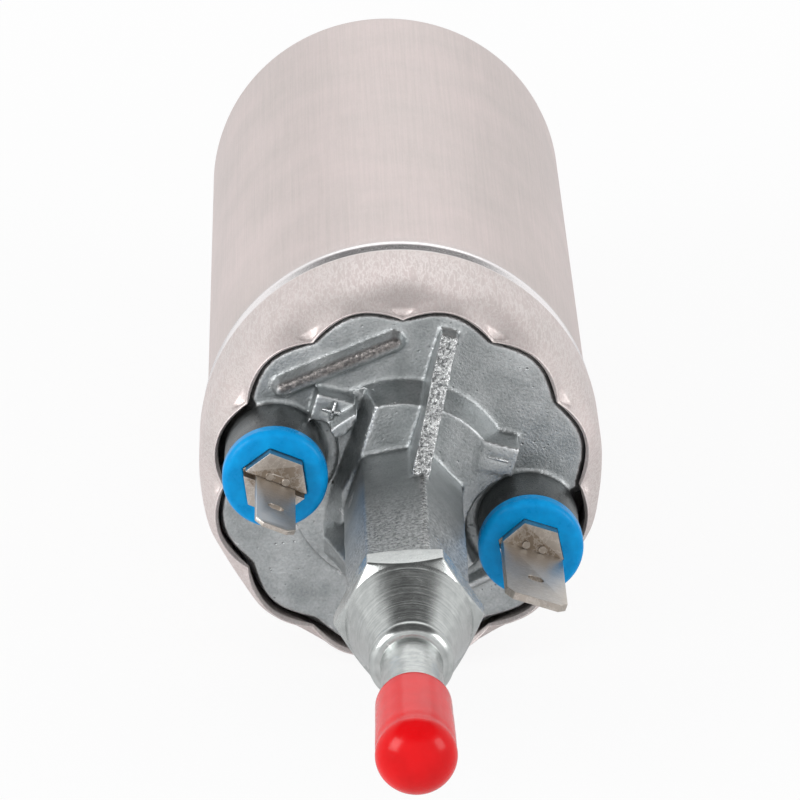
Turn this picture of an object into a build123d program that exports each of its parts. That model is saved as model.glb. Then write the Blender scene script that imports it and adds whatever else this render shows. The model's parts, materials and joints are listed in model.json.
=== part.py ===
from build123d import *
import math
import os

# Inline electric fuel pump, lying along Y with its outlet towards -Y and +Z up.
# The origin is on the pump axis, in the middle of the stretch of can that a clamp holds.
# A station is a place along Y. Angles are seen from the outlet end, from +X towards +Z.

# Fits and cuts
press_gap = 0.01
seat_gap = 0.05
running_gap = 0.03
rotor_gap = 0.06
slide_gap = 0.15
loose_gap = 0.25
cut_over = 1.0

# Can
can_radius = 30.0
can_wall = 1.5
can_inner = can_radius - can_wall
can_corner = 3.0
can_end_wall = 2.0
clamp_to_lip = 80.0
band_step = 1.1
band_radius = can_radius + band_step
band_length = 24.0
band_wall = 1.4
band_inner = band_radius - band_wall
step_length = 4.0

# Crimp lip: lobes between valleys, from where the curl starts down to the rim
lobe_count = 12
curl_length = 11.0
rim_valley_depth = 3.9
rim_valley_radius = band_radius - rim_valley_depth
rim_bulge_depth = 1.6
rim_bulge_radius = band_radius - rim_bulge_depth
valley_rise_shares = (0.0, 0.4, 0.8, 1.0)
bulge_rise_shares = (0.0, 0.62, 0.96, 1.0)
curl_station_shares = (0.0, 0.23, 0.55, 1.0)
stake_width = 2.8
stake_length = 1.3
stake_depth = 3.2
stake_floor_radius = band_radius - stake_depth
stake_to_rim = 2.1

# End cover casting
cover_edge_gap = 0.2
cover_edge_radius = rim_valley_radius - band_wall - cover_edge_gap
cover_set_back = 1.0
cover_flange_gap = 0.3
cover_flange_radius = band_inner - cover_flange_gap
cover_bevel_length = 8.0
cover_bevel_step = 0.9
cover_bevel_radius = cover_flange_radius - cover_bevel_step
cover_spigot_radius = can_inner - slide_gap
cover_spigot_wall = 3.55
cover_front_wall = 5.0
cavity_radius = cover_spigot_radius - cover_spigot_wall
casting_round = 0.5
base_radius = 17.3
base_top_radius = 15.5
base_height = 5.5
base_relief_radius = 9.8
column_width = 16.0
column_angle = 12.0
column_end = 45.2
outlet_passage_radius = 4.5

# Ribs and raised marks on the casting
fin_angle = 74.3
fin_thickness = 2.7
fin_overhang = 0.7
fin_outer_radius = cover_edge_radius + fin_overhang
fin_rim_height = 2.2
fin_foot_height = 18.2
gusset_angle = 212.0
gusset_thickness = 2.6
gusset_outer_radius = 15.0
gusset_height = 27.0
bar_start = (-17.5, 16.8)
bar_end = (-2.0, 23.4)
bar_width = 3.4
bar_height = 2.4
bar_taper = 22.0
ridge_start = (8.6, -17.4)
ridge_end = (16.4, -13.3)
ridge_width = 2.2
ridge_height = 1.8
pad_tilt = -15.0
plus_pad_centre = (-10.6, 13.4)
plus_pad_width = 6.2
plus_pad_length = 4.4
plus_pad_height = 3.4
minus_pad_centre = (14.4, 6.5)
minus_pad_width = 5.7
minus_pad_length = 4.7
minus_pad_height = 5.8
mark_length = 3.2
mark_stroke = 0.8
mark_depth = 0.5

# Terminals
terminal_inset = 5.4
terminal_radius = cover_edge_radius - terminal_inset
terminal_angle = -16.5
terminal_boss_radius = 7.7
terminal_boss_height = 9.5
insulator_radius = 8.0
insulator_flange = 2.6
insulator_round = 1.1
insulator_pocket = 1.5
sleeve_radius = 4.2
stud_radius = 2.5
stud_head_width = 9.0
stud_head_height = 3.1
stud_tail = 7.5
slot_depth = 1.7
terminal_seal_radius = 0.65
terminal_seal_groove = 1.5
inner_washer_thickness = 1.5
lug_thickness = 0.6
stud_nut_width = 7.0
stud_nut_height = 3.2
plus_blade_width = 6.3
plus_blade_thickness = 0.8
plus_blade_reach = 16.4
plus_blade_angle = -22.0
minus_blade_width = 9.5
minus_blade_thickness = 1.2
minus_blade_reach = 17.6
minus_blade_angle = -18.0
blade_corner = 1.2
blade_hole_to_tip = 7.2
blade_hole_width = 2.4
blade_hole_length = 1.7
blade_stake_radius = 0.6
blade_stake_spacing_share = 0.5

# Outlet fitting with the check valve
shank_radius = 5.95
shank_length = 11.0
hexagon_width = 19.0
hexagon_angle = 4.0
hexagon_length = 5.2
fitting_seal_thickness = 0.8
fitting_seal_radius = 7.8
cone_length = 11.4
cone_end_radius = 5.5
chamfer_radius = 9.9
collar_radius = 6.2
collar_length = 3.2
tube_radius = 4.45
tube_lead_radius = 4.2
tube_lead_to_cap = 0.8
tube_bore_radius = 3.0
tube_reach = 29.0
tube_end_round = 0.6
valve_chamber_radius = 4.3
valve_chamber_length = 23.0
valve_seat_length = 3.5
valve_seat_bore = 2.6
poppet_radius = 3.7
poppet_nose_radius = 2.3
poppet_nose_length = 1.2
poppet_flange = 1.4
poppet_stem_radius = 1.3
poppet_stem_length = 9.0
poppet_notch_radius = 1.1
poppet_notch_count = 4
poppet_seal_thickness = 0.9
valve_spring_radius = 2.4
valve_spring_wire = 0.35
valve_spring_turns = 6

# Red cap
cap_mouth_radius = 5.4
cap_radius = 5.72
cap_wall = 0.9
cap_mouth_to_collar = 16.6
cap_length = 19.8
cap_dome = 4.4

# Cover O-ring
cover_seal_radius = 0.9
cover_seal_width = 2.4
cover_seal_to_shoulder = 3.4

# Armature and motor
bush_bore = 4.0
shaft_radius = bush_bore - running_gap
bush_radius = 6.0
bush_length = 7.0
bush_to_wall = 4.0
hub_radius = 9.0
window_width = 5.0
window_length = 2.6
window_count = 3
thrust_washer_thickness = 0.8
thrust_washer_radius = 7.0
shaft_chamfer = 0.4
commutator_radius = 11.0
commutator_hub_radius = 8.0
commutator_length = 15.0
commutator_count = 8
commutator_gap = 0.5
riser_radius = 12.2
riser_length = 1.6
flux_ring_gap = 0.4
flux_ring_radius = can_inner - flux_ring_gap
flux_ring_wall = 2.6
flux_ring_inner = flux_ring_radius - flux_ring_wall
flux_ring_length = 62.0
magnet_gap = 0.1
magnet_radius = flux_ring_inner - magnet_gap
magnet_thickness = 6.1
magnet_inner = magnet_radius - magnet_thickness
magnet_set_in = 0.15
magnet_to_port = 11.85
magnet_length = flux_ring_length - magnet_set_in - magnet_to_port
magnet_span = 128.0
magnet_round = 0.8
air_gap = 0.7
core_radius = magnet_inner - air_gap
magnet_overhang = 4.0
core_length = magnet_length - 2 * magnet_overhang
core_slot_count = 8
core_slot_mouth = 2.0
core_slot_inner = 9.4
core_tooth_tip = 2.0
core_slot_outer = core_radius - core_tooth_tip
core_slot_radius = 2.5
winding_gap = 0.3
winding_inner = 7.2
winding_inset = 1.7
winding_outer = core_radius - winding_inset
winding_length = 7.0
winding_round = 2.4
clip_thickness = 0.7
clip_tab = 2.6
clip_inset = 1.0
clip_length = core_length - 2 * clip_inset

# Brush gear
holder_gap = 0.2
holder_radius = cavity_radius - holder_gap
holder_length = 15.0
holder_to_wall = 13.0
riser_gap = 0.4
holder_bore = riser_radius + riser_gap
holder_passage_radius = 3.2
holder_passage_count = 4
holder_passage_inset = 6.6
holder_passage_place = holder_radius - holder_passage_inset
tube_width = 6.4
tube_height = 8.4
tube_wall = 0.4
tube_set_in = 0.3
tube_inner_end = holder_bore + tube_set_in
tube_to_rim = 0.4
tube_outer_end = holder_radius - tube_to_rim
brush_length = 6.4
brush_face_gap = 0.2
brush_spring_radius = 1.9
brush_spring_wire = 0.3
brush_spring_turns = 4
strap_width = 4.0
strap_inset = 5.3
strap_place = terminal_radius - strap_inset
strap_foot = 4.5
lug_radius = 4.0

# Pump stage
plate_radius = can_inner - slide_gap
port_plate_length = 8.0
ring_length = 10.0
inlet_plate_length = 8.0
skirt_wall = 4.35
skirt_inner = plate_radius - skirt_wall
skirt_length = 10.0
skirt_chamfer = 1.9
rotor_lobes = 6
rotor_pin_circle = 14.5
rotor_pin_radius = 4.2
rotor_offset = 1.6
rotor_side_gap = 0.05
rotor_root_gap = 0.15
outer_rotor_radius = 17.0
outer_rotor_fillet = 0.5
tang_width = 5.6
tang_gap = 0.1
kidney_radius = 11.2
kidney_width = 3.8
kidney_span = 100.0
screw_inset = 5.55
screw_circle = plate_radius - screw_inset
screw_radius = 2.0
screw_head_radius = 3.5
screw_head_length = 3.0
screw_thread_depth = 6.5
screw_socket_width = 3.0
screw_socket_depth = 1.6
screw_count = 4
screw_first_angle = 45.0
relief_inset = 5.75
relief_place = plate_radius - relief_inset
relief_bore = 2.7
relief_port = 1.5
relief_seat_depth = 4.0
relief_ball_radius = 2.3
relief_spring_radius = 1.7
relief_spring_wire = 0.25
relief_spring_turns = 8
relief_plug_radius = 3.0
relief_plug_length = 6.0
relief_plug_bore = 1.2

# Inlet
nipple_bore = 5.5
nipple_radius = 7.5
nipple_root_radius = 9.0
nipple_root_length = 2.0
nipple_reach = 24.0
nipple_lead = 2.5
nipple_tip_radius = 6.6
nipple_flange_radius = 12.5
nipple_flange_length = 2.0
inlet_seal_thickness = 1.0
strainer_radius = 12.0
strainer_tip_radius = 10.0
strainer_length = 5.5
strainer_wall = 0.6
strainer_hole = 0.8
strainer_hole_count = 12
strainer_hole_rings = (4.2, 7.4)

# Stations along the pump axis, worked out from the sizes above
lip_y = -clamp_to_lip
cover_face_y = lip_y + cover_set_back
cover_wall_y = cover_face_y + cover_front_wall
shoulder_y = lip_y + band_length
bush_y = cover_wall_y + bush_to_wall
hub_end_y = bush_y + bush_length
holder_y = cover_wall_y + holder_to_wall
commutator_y = hub_end_y + thrust_washer_thickness + loose_gap
riser_y = commutator_y + commutator_length
winding_y = riser_y + riser_length + loose_gap
core_y = winding_y + winding_length + loose_gap
rear_winding_y = core_y + core_length + loose_gap
clip_y = core_y + clip_inset
magnet_y = core_y - magnet_overhang
flux_y = magnet_y - magnet_set_in
port_y = flux_y + flux_ring_length
ring_y = port_y + port_plate_length
inlet_plate_y = ring_y + ring_length
skirt_y = inlet_plate_y + inlet_plate_length
can_floor_y = skirt_y + skirt_length
can_end_y = can_floor_y + can_end_wall
brush_y = commutator_y + commutator_length / 2
column_end_y = cover_face_y - column_end
hexagon_y = column_end_y - fitting_seal_thickness
cone_y = hexagon_y - hexagon_length
collar_y = cone_y - cone_length
tube_end_y = collar_y - tube_reach
shank_end_y = hexagon_y + shank_length
chamber_end_y = shank_end_y - valve_chamber_length
seat_face_y = shank_end_y - valve_seat_length
poppet_flange_y = seat_face_y - seat_gap - poppet_seal_thickness
cap_mouth_y = collar_y - cap_mouth_to_collar
cap_dome_y = cap_mouth_y - cap_length + cap_dome
boss_face_y = cover_face_y - terminal_boss_height
insulator_face_y = boss_face_y - insulator_flange
pocket_y = insulator_face_y + insulator_pocket
stud_head_y = pocket_y - stud_head_height
nipple_flange_y = can_floor_y - inlet_seal_thickness
rotor_y = ring_y + rotor_side_gap
rotor_length = ring_length - 2 * rotor_side_gap

os.makedirs("parts", exist_ok=True)


def outlet_plane(station):
    """A plane across the pump axis, seen from the outlet end: X to the right, Z up."""
    return Plane(origin=(0, station, 0), x_dir=(1, 0, 0), z_dir=(0, -1, 0))


def polar_point(radius, angle):
    """A point of an outlet plane at a radius and an angle in degrees."""
    return (radius * math.cos(math.radians(angle)), radius * math.sin(math.radians(angle)))


def radial_plane(angle):
    """A plane through the pump axis: its X runs outwards at an angle, its Y along the pump."""
    x, z = polar_point(1, angle)
    return Plane(origin=(0, 0, 0), x_dir=(x, 0, z), z_dir=(-z, 0, x))


def terminal_places():
    """The plus terminal on the left and the minus terminal on the right."""
    plus = polar_point(terminal_radius, terminal_angle + 180)
    minus = polar_point(terminal_radius, terminal_angle)
    return [("plus", plus), ("minus", minus)]


def turn(outline, mode=Mode.ADD):
    """Turn an outline of (radius, station) points about the pump axis."""
    with BuildSketch(Plane.XY) as face:
        with BuildLine():
            Polyline(*outline, close=True)
        make_face()
    revolve(face.sketch, axis=Axis.Y, mode=mode)


def turn_at(place, outline, mode=Mode.ADD):
    """Turn an outline about a line along Y through a place (x, z) off the pump axis."""
    with BuildSketch(Plane(origin=(place[0], 0, place[1]))) as face:
        with BuildLine():
            Polyline(*outline, close=True)
        make_face()
    revolve(face.sketch, axis=Axis((place[0], 0, place[1]), (0, 1, 0)), mode=mode)


def turn_ring(place, ring_radius, section_radius, station, mode=Mode.ADD):
    """Turn an O-ring of round section about a line along Y through a place (x, z)."""
    with BuildSketch(Plane(origin=(place[0], 0, place[1]))) as face:
        with Locations((ring_radius, station)):
            Circle(section_radius)
    revolve(face.sketch, axis=Axis((place[0], 0, place[1]), (0, 1, 0)), mode=mode)


def box_outline(inner, outer, start, end):
    """The (radius, station) points of a plain ring."""
    return [(inner, start), (outer, start), (outer, end), (inner, end)]


def wind_coil(plane, mean_radius, wire_radius, length, turns, name):
    """One unbroken wound tube from a plane, made of biarcs of a quarter turn each."""
    steps = 4 * turns
    rise = (length - 2 * wire_radius) / steps

    def point(step):
        x, y = polar_point(mean_radius, 90 * step)
        return plane.from_local_coords(Vector(x, y, wire_radius + rise * step))

    def heading(step):
        x, y = polar_point(mean_radius, 90 * (step + 1))
        local = Vector(x, y, rise * 2 / math.pi)
        return (plane.from_local_coords(local) - plane.from_local_coords(Vector(0, 0, 0))).normalized()

    with BuildLine() as path:
        for step in range(steps):
            start, end = point(step), point(step + 1)
            leave, arrive = heading(step), heading(step + 1)
            chord = end - start
            both = leave + arrive
            spread = 2 * (1 - leave.dot(arrive))
            along = chord.dot(both)
            reach = (math.sqrt(along**2 + spread * chord.dot(chord)) - along) / spread
            first = start + leave * reach
            second = end - arrive * reach
            middle = (first + second) * 0.5
            TangentArc(start, middle, tangent=leave)
            TangentArc(middle, end, tangent=(second - first).normalized())
    with BuildSketch(Plane(origin=point(0), z_dir=heading(0))) as wire:
        Circle(wire_radius)
    sweep(sections=wire.sketch, path=path.line)

    per_turn = 48
    places = [path.line @ (i / (per_turn * turns)) for i in range(per_turn * turns + 1)]
    gaps = [
        (places[i] - places[j]).length - 2 * wire_radius
        for i in range(len(places))
        for j in range(i + per_turn // 2, len(places))
    ]
    print(name, "least gap to itself", round(min(gaps), 3), "mm")


def finish(piece, name):
    """Label a piece and write its STEP file."""
    piece.part.label = name
    export_step(piece.part, "parts/" + name + ".step")


# Can shell: turned body and band, lofted crimp lip, stake marks, hole for the inlet nipple
def lobed_outline(valley, bulge):
    """The face inside a closed line of arcs, one for each lobe of the crimp lip."""
    pitch = 360 / lobe_count
    with BuildSketch() as face:
        with BuildLine():
            for i in range(lobe_count):
                ThreePointArc(
                    polar_point(valley, i * pitch),
                    polar_point(bulge, (i + 1 / 2) * pitch),
                    polar_point(valley, (i + 1) * pitch),
                )
        make_face()
    return face.sketch


def lip_section(share, valley_share, bulge_share, wall):
    """A section across the crimp lip, at a share of the way from its rim to the plain band."""
    station = lip_y + curl_length * share
    valley = rim_valley_radius + (band_radius - rim_valley_radius) * valley_share - wall
    bulge = rim_bulge_radius + (band_radius - rim_bulge_radius) * bulge_share - wall
    return outlet_plane(station) * lobed_outline(valley, bulge)


lip_shares = list(zip(curl_station_shares, valley_rise_shares, bulge_rise_shares))
step_y = shoulder_y + step_length
with BuildPart() as can_shell:
    turn(
        [
            (band_inner, lip_y + curl_length),
            (band_radius, lip_y + curl_length),
            (band_radius, shoulder_y),
            (can_radius, step_y),
            (can_radius, can_end_y - can_corner),
            (can_radius - can_corner, can_end_y),
            (nipple_root_radius + seat_gap, can_end_y),
            (nipple_root_radius + seat_gap, can_floor_y),
            (can_inner - can_wall, can_floor_y),
            (can_inner, can_floor_y - can_wall),
            (can_inner, shoulder_y),
            (band_inner, shoulder_y),
        ]
    )
    corner = can_shell.edges().filter_by(GeomType.CIRCLE)
    corner = corner.filter_by(lambda e: abs(e.radius - can_radius) < press_gap)
    fillet(corner, can_corner / 2)
    lip_outer = loft([lip_section(*shares, 0) for shares in lip_shares], mode=Mode.PRIVATE)
    lip_inner = loft([lip_section(*shares, band_wall) for shares in lip_shares], mode=Mode.PRIVATE)
    add(lip_outer - lip_inner)
    stake_y = lip_y + stake_to_rim
    for i in range(lobe_count):
        x, z = polar_point(1, i * 360 / lobe_count)
        stake_plane = Plane(
            origin=(stake_floor_radius * x, stake_y, stake_floor_radius * z),
            x_dir=(-z, 0, x),
            z_dir=(x, 0, z),
        )
        with BuildSketch(stake_plane) as stake:
            with BuildLine():
                Polyline(
                    (stake_width / 2, 0),
                    (0, stake_length / 2),
                    (-stake_width / 2, 0),
                    (0, -stake_length / 2),
                    close=True,
                )
            make_face()
        extrude(stake.sketch, amount=band_radius, mode=Mode.SUBTRACT)
finish(can_shell, "can_shell")


# End cover: turned flange and spigot, bosses, column, fin, gusset, bar and marks
def raised_bar(start, end, width, height, taper):
    """A raised bar with round ends on the face of the cover."""
    length = math.hypot(end[0] - start[0], end[1] - start[1])
    slope = math.degrees(math.atan2(end[1] - start[1], end[0] - start[0]))
    with BuildSketch(outlet_plane(cover_face_y)) as bar:
        with Locations(((start[0] + end[0]) / 2, (start[1] + end[1]) / 2)):
            SlotOverall(length + width, width, rotation=slope)
    extrude(bar.sketch, amount=height, taper=taper)


def marked_pad(centre, width, length, height):
    """A flat pad on the face of the cover."""
    with BuildSketch(outlet_plane(cover_face_y)) as pad:
        with Locations(centre):
            Rectangle(width, length, rotation=pad_tilt)
    extrude(pad.sketch, amount=height)


def web(angle, thickness, outline):
    """A flat web in a plane through the pump axis, from (radius, station) points."""
    with BuildSketch(radial_plane(angle)) as face:
        with BuildLine():
            Polyline(*outline, close=True)
        make_face()
    extrude(face.sketch, amount=thickness / 2, both=True)


with BuildPart() as end_cover:
    spigot_y = flux_y
    turn(
        [
            (0, cover_face_y),
            (cover_edge_radius, cover_face_y),
            (cover_bevel_radius, cover_face_y + cover_bevel_length),
            (cover_flange_radius, cover_face_y + cover_bevel_length + step_length / 2),
            (cover_flange_radius, shoulder_y),
            (cover_spigot_radius, shoulder_y),
            (cover_spigot_radius, spigot_y),
            (cavity_radius, spigot_y),
            (cavity_radius, cover_wall_y),
            (hub_radius, cover_wall_y),
            (hub_radius, hub_end_y),
            (0, hub_end_y),
        ]
    )
    base_face_y = cover_face_y - base_height
    turn(
        [
            (0, cover_face_y),
            (base_radius, cover_face_y),
            (base_top_radius, base_face_y),
            (0, base_face_y),
        ]
    )
    with BuildSketch(outlet_plane(cover_face_y)) as relief:
        for name, place in terminal_places():
            with Locations(place):
                Circle(base_relief_radius)
    extrude(relief.sketch, amount=base_height + cut_over, mode=Mode.SUBTRACT)
    with BuildSketch(outlet_plane(cover_face_y)) as column:
        RegularPolygon(column_width / 2, 6, major_radius=False, rotation=column_angle)
    extrude(column.sketch, amount=column_end)
    with BuildSketch(outlet_plane(cover_face_y)) as bosses:
        for name, place in terminal_places():
            with Locations(place):
                Circle(terminal_boss_radius)
    extrude(bosses.sketch, amount=terminal_boss_height)
    column_side = column_width / 4
    web(
        fin_angle,
        fin_thickness,
        [
            (column_side, cover_face_y + casting_round),
            (cover_edge_radius, cover_face_y + casting_round),
            (fin_outer_radius, cover_face_y - casting_round),
            (fin_outer_radius, cover_face_y - fin_rim_height),
            (column_width / 2, cover_face_y - fin_foot_height),
            (column_side, cover_face_y - fin_foot_height),
        ],
    )
    web(
        gusset_angle,
        gusset_thickness,
        [
            (column_side, cover_face_y + casting_round),
            (gusset_outer_radius, cover_face_y + casting_round),
            (gusset_outer_radius, cover_face_y - casting_round),
            (column_width / 2, cover_face_y - gusset_height),
            (column_side, cover_face_y - gusset_height),
        ],
    )
    raised_bar(bar_start, bar_end, bar_width, bar_height, bar_taper)
    raised_bar(ridge_start, ridge_end, ridge_width, ridge_height, bar_taper)
    marked_pad(plus_pad_centre, plus_pad_width, plus_pad_length, plus_pad_height)
    marked_pad(minus_pad_centre, minus_pad_width, minus_pad_length, minus_pad_height)
    with BuildSketch(outlet_plane(cover_face_y - plus_pad_height)) as plus_mark:
        with Locations(plus_pad_centre):
            Rectangle(mark_length, mark_stroke, rotation=pad_tilt)
            Rectangle(mark_stroke, mark_length, rotation=pad_tilt)
    extrude(plus_mark.sketch, amount=-mark_depth, mode=Mode.SUBTRACT)
    with BuildSketch(outlet_plane(cover_face_y - minus_pad_height)) as minus_mark:
        with Locations(minus_pad_centre):
            Rectangle(mark_length, mark_stroke, rotation=pad_tilt)
    extrude(minus_mark.sketch, amount=-mark_depth, mode=Mode.SUBTRACT)
    turn(
        [
            (0, column_end_y - cut_over),
            (shank_radius + seat_gap, column_end_y - cut_over),
            (shank_radius + seat_gap, shank_end_y + seat_gap),
            (outlet_passage_radius, shank_end_y + seat_gap),
            (outlet_passage_radius, cover_face_y),
            (bush_radius, cover_face_y + cover_set_back),
            (bush_radius, hub_end_y + cut_over),
            (0, hub_end_y + cut_over),
        ],
        Mode.SUBTRACT,
    )
    window_y = cover_wall_y + window_length / 2 + seat_gap
    for i in range(window_count):
        x, z = polar_point(1, fin_angle + i * 360 / window_count)
        window_plane = Plane(origin=(0, window_y, 0), x_dir=(-z, 0, x), z_dir=(x, 0, z))
        with BuildSketch(window_plane) as window:
            Rectangle(window_width, window_length)
        extrude(window.sketch, amount=hub_radius + cut_over, mode=Mode.SUBTRACT)
    for name, place in terminal_places():
        turn_at(
            place,
            [
                (0, boss_face_y - cut_over),
                (terminal_seal_radius * 2 + sleeve_radius + press_gap, boss_face_y - cut_over),
                (terminal_seal_radius * 2 + sleeve_radius + press_gap, boss_face_y + terminal_seal_groove),
                (sleeve_radius + press_gap, boss_face_y + terminal_seal_groove),
                (sleeve_radius + press_gap, cover_wall_y + cut_over),
                (0, cover_wall_y + cut_over),
            ],
            Mode.SUBTRACT,
        )
    groove_y = shoulder_y + cover_seal_to_shoulder
    turn(
        box_outline(
            cover_spigot_radius + press_gap - 2 * cover_seal_radius + loose_gap / 2,
            cover_spigot_radius + cut_over,
            groove_y - cover_seal_width / 2,
            groove_y + cover_seal_width / 2,
        ),
        Mode.SUBTRACT,
    )
finish(end_cover, "end_cover")

with BuildPart() as cover_seal:
    turn_ring((0, 0), can_inner - press_gap - cover_seal_radius, cover_seal_radius, groove_y)
finish(cover_seal, "cover_seal")


# Terminals: insulators, studs, blades, and inside them seals, washers, nuts and straps
blades = {
    "plus": (plus_blade_width, plus_blade_thickness, plus_blade_reach, plus_blade_angle),
    "minus": (minus_blade_width, minus_blade_thickness, minus_blade_reach, minus_blade_angle),
}
slot_y = stud_head_y + slot_depth
washer_y = cover_wall_y + inner_washer_thickness
nut_y = washer_y + lug_thickness
stud_end_y = cover_wall_y + stud_tail
for name, place in terminal_places():
    blade_width, blade_thickness, blade_reach, blade_angle = blades[name]
    hexagon_corner = stud_head_width / math.sqrt(3)

    with BuildPart() as insulator:
        turn_at(
            place,
            [
                (stud_radius + press_gap, pocket_y),
                (stud_radius + press_gap, cover_wall_y),
                (sleeve_radius, cover_wall_y),
                (sleeve_radius, boss_face_y),
                (insulator_radius, boss_face_y),
                (insulator_radius, insulator_face_y),
                (0, insulator_face_y),
                (0, pocket_y),
            ],
        )
        rim = insulator.edges().filter_by(GeomType.CIRCLE).group_by(Axis.Y)[0]
        fillet(rim.filter_by(lambda e: e.radius > sleeve_radius), insulator_round)
        with BuildSketch(outlet_plane(pocket_y)) as pocket:
            with Locations(place):
                RegularPolygon(hexagon_corner + seat_gap, 6, rotation=blade_angle)
        extrude(pocket.sketch, amount=insulator_pocket + cut_over, mode=Mode.SUBTRACT)
    finish(insulator, "insulator_" + name)

    with BuildPart() as terminal_stud:
        with BuildSketch(outlet_plane(pocket_y)) as head:
            with Locations(place):
                RegularPolygon(hexagon_corner, 6, rotation=blade_angle)
        extrude(head.sketch, amount=stud_head_height)
        turn_at(place, box_outline(0, stud_radius, pocket_y, stud_end_y))
        with BuildSketch(outlet_plane(slot_y)) as slot:
            with Locations(place):
                Rectangle(4 * hexagon_corner, blade_thickness + 2 * press_gap, rotation=blade_angle)
        extrude(slot.sketch, amount=slot_depth + cut_over, mode=Mode.SUBTRACT)
        with BuildSketch(outlet_plane(stud_head_y)) as stakes:
            side = (blade_thickness / 2 + blade_stake_radius + seat_gap) / hexagon_corner
            for along in (-blade_stake_spacing_share / 2, blade_stake_spacing_share / 2):
                for across in (-side, side):
                    offset = Vector(along, across, 0).rotate(Axis.Z, blade_angle) * hexagon_corner
                    with Locations((place[0] + offset.X, place[1] + offset.Y)):
                        Circle(blade_stake_radius)
        extrude(stakes.sketch, amount=blade_stake_radius / 2)
    finish(terminal_stud, "terminal_stud_" + name)

    with BuildPart() as blade:
        tip = blade_reach + slot_depth
        x, z = polar_point(1, blade_angle)
        blade_plane = Plane(origin=(place[0], slot_y, place[1]), x_dir=(x, 0, z), z_dir=(z, 0, -x))
        with BuildSketch(blade_plane) as outline:
            with BuildLine():
                Polyline(
                    (-blade_width / 2, 0),
                    (blade_width / 2, 0),
                    (blade_width / 2, tip - blade_corner),
                    (blade_width / 2 - blade_corner, tip),
                    (blade_corner - blade_width / 2, tip),
                    (-blade_width / 2, tip - blade_corner),
                    close=True,
                )
            make_face()
            with Locations((0, tip - blade_hole_to_tip)):
                SlotOverall(blade_hole_width, blade_hole_length, mode=Mode.SUBTRACT)
        extrude(outline.sketch, amount=blade_thickness / 2, both=True)
    finish(blade, "blade_" + name)

    with BuildPart() as lead_strap:
        turn_at(place, box_outline(stud_radius + press_gap, lug_radius, washer_y, nut_y))
        angle = math.degrees(math.atan2(place[1], place[0]))
        foot_y = brush_y - tube_height / 2
        with BuildSketch(radial_plane(angle)) as strap:
            with BuildLine():
                Polyline(
                    (terminal_radius - stud_radius - lug_thickness, washer_y),
                    (strap_place, washer_y),
                    (strap_place, foot_y),
                    (strap_place + strap_foot, foot_y),
                    (strap_place + strap_foot, foot_y - lug_thickness),
                    (strap_place + lug_thickness, foot_y - lug_thickness),
                    (strap_place + lug_thickness, nut_y),
                    (terminal_radius - stud_radius - lug_thickness, nut_y),
                    close=True,
                )
            make_face()
        extrude(strap.sketch, amount=strap_width / 2, both=True)
    finish(lead_strap, "lead_strap_" + name)

with BuildPart() as terminal_seals:
    for name, place in terminal_places():
        ring = sleeve_radius + terminal_seal_radius + press_gap / 2
        turn_ring(place, ring, terminal_seal_radius - press_gap, boss_face_y + terminal_seal_groove / 2)
finish(terminal_seals, "terminal_seals")

with BuildPart() as inner_washers:
    for name, place in terminal_places():
        turn_at(place, box_outline(stud_radius + press_gap, lug_radius, cover_wall_y, washer_y))
finish(inner_washers, "inner_washers")

with BuildPart() as stud_nuts:
    for name, place in terminal_places():
        with BuildSketch(outlet_plane(nut_y)) as nut:
            with Locations(place):
                RegularPolygon(stud_nut_width / 2, 6, major_radius=False)
                Circle(stud_radius + press_gap, mode=Mode.SUBTRACT)
        extrude(nut.sketch, amount=-stud_nut_height)
finish(stud_nuts, "stud_nuts")


# Outlet fitting: hexagon cut by a cone, collar, tube, shank and the valve chamber
with BuildPart() as outlet_fitting:
    with BuildSketch(outlet_plane(hexagon_y)) as hexagon:
        RegularPolygon(hexagon_width / 2, 6, major_radius=False, rotation=hexagon_angle)
    extrude(hexagon.sketch, amount=hexagon_length + cone_length)
    corner_radius = hexagon_width / math.sqrt(3)
    chamfer_run = (corner_radius - chamfer_radius) * math.tan(math.radians(30))
    turn(
        [
            (0, hexagon_y),
            (chamfer_radius, hexagon_y),
            (corner_radius + press_gap, hexagon_y - chamfer_run),
            (corner_radius + press_gap, cone_y + chamfer_run * 2),
            (chamfer_radius, cone_y),
            (cone_end_radius, collar_y),
            (0, collar_y),
        ],
        Mode.INTERSECT,
    )
    with BuildSketch(Plane.XY) as nose:
        with BuildLine():
            Polyline(
                (0, collar_y + cone_end_radius / 2),
                (cone_end_radius, collar_y + cone_end_radius / 2),
                (cone_end_radius, collar_y),
                (collar_radius - collar_length / 2, collar_y),
            )
            ThreePointArc(
                (collar_radius - collar_length / 2, collar_y),
                (collar_radius, collar_y - collar_length / 2),
                (collar_radius - collar_length / 2, collar_y - collar_length),
            )
            Polyline(
                (collar_radius - collar_length / 2, collar_y - collar_length),
                (tube_radius, collar_y - collar_length),
                (tube_radius, cap_mouth_y + tube_lead_to_cap),
                (tube_lead_radius, cap_mouth_y + tube_lead_to_cap),
                (tube_lead_radius, tube_end_y + tube_end_round),
                (tube_lead_radius - tube_end_round, tube_end_y),
                (0, tube_end_y),
                (0, collar_y + cone_end_radius / 2),
            )
        make_face()
    revolve(nose.sketch, axis=Axis.Y)
    turn(box_outline(0, shank_radius, hexagon_y, shank_end_y))
    turn(
        [
            (0, tube_end_y - cut_over),
            (tube_bore_radius, tube_end_y - cut_over),
            (tube_bore_radius, chamber_end_y),
            (valve_chamber_radius, chamber_end_y),
            (valve_chamber_radius, shank_end_y + cut_over),
            (0, shank_end_y + cut_over),
        ],
        Mode.SUBTRACT,
    )
finish(outlet_fitting, "outlet_fitting")

with BuildPart() as fitting_seal:
    turn(box_outline(shank_radius + seat_gap, fitting_seal_radius, hexagon_y, column_end_y))
finish(fitting_seal, "fitting_seal")

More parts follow.
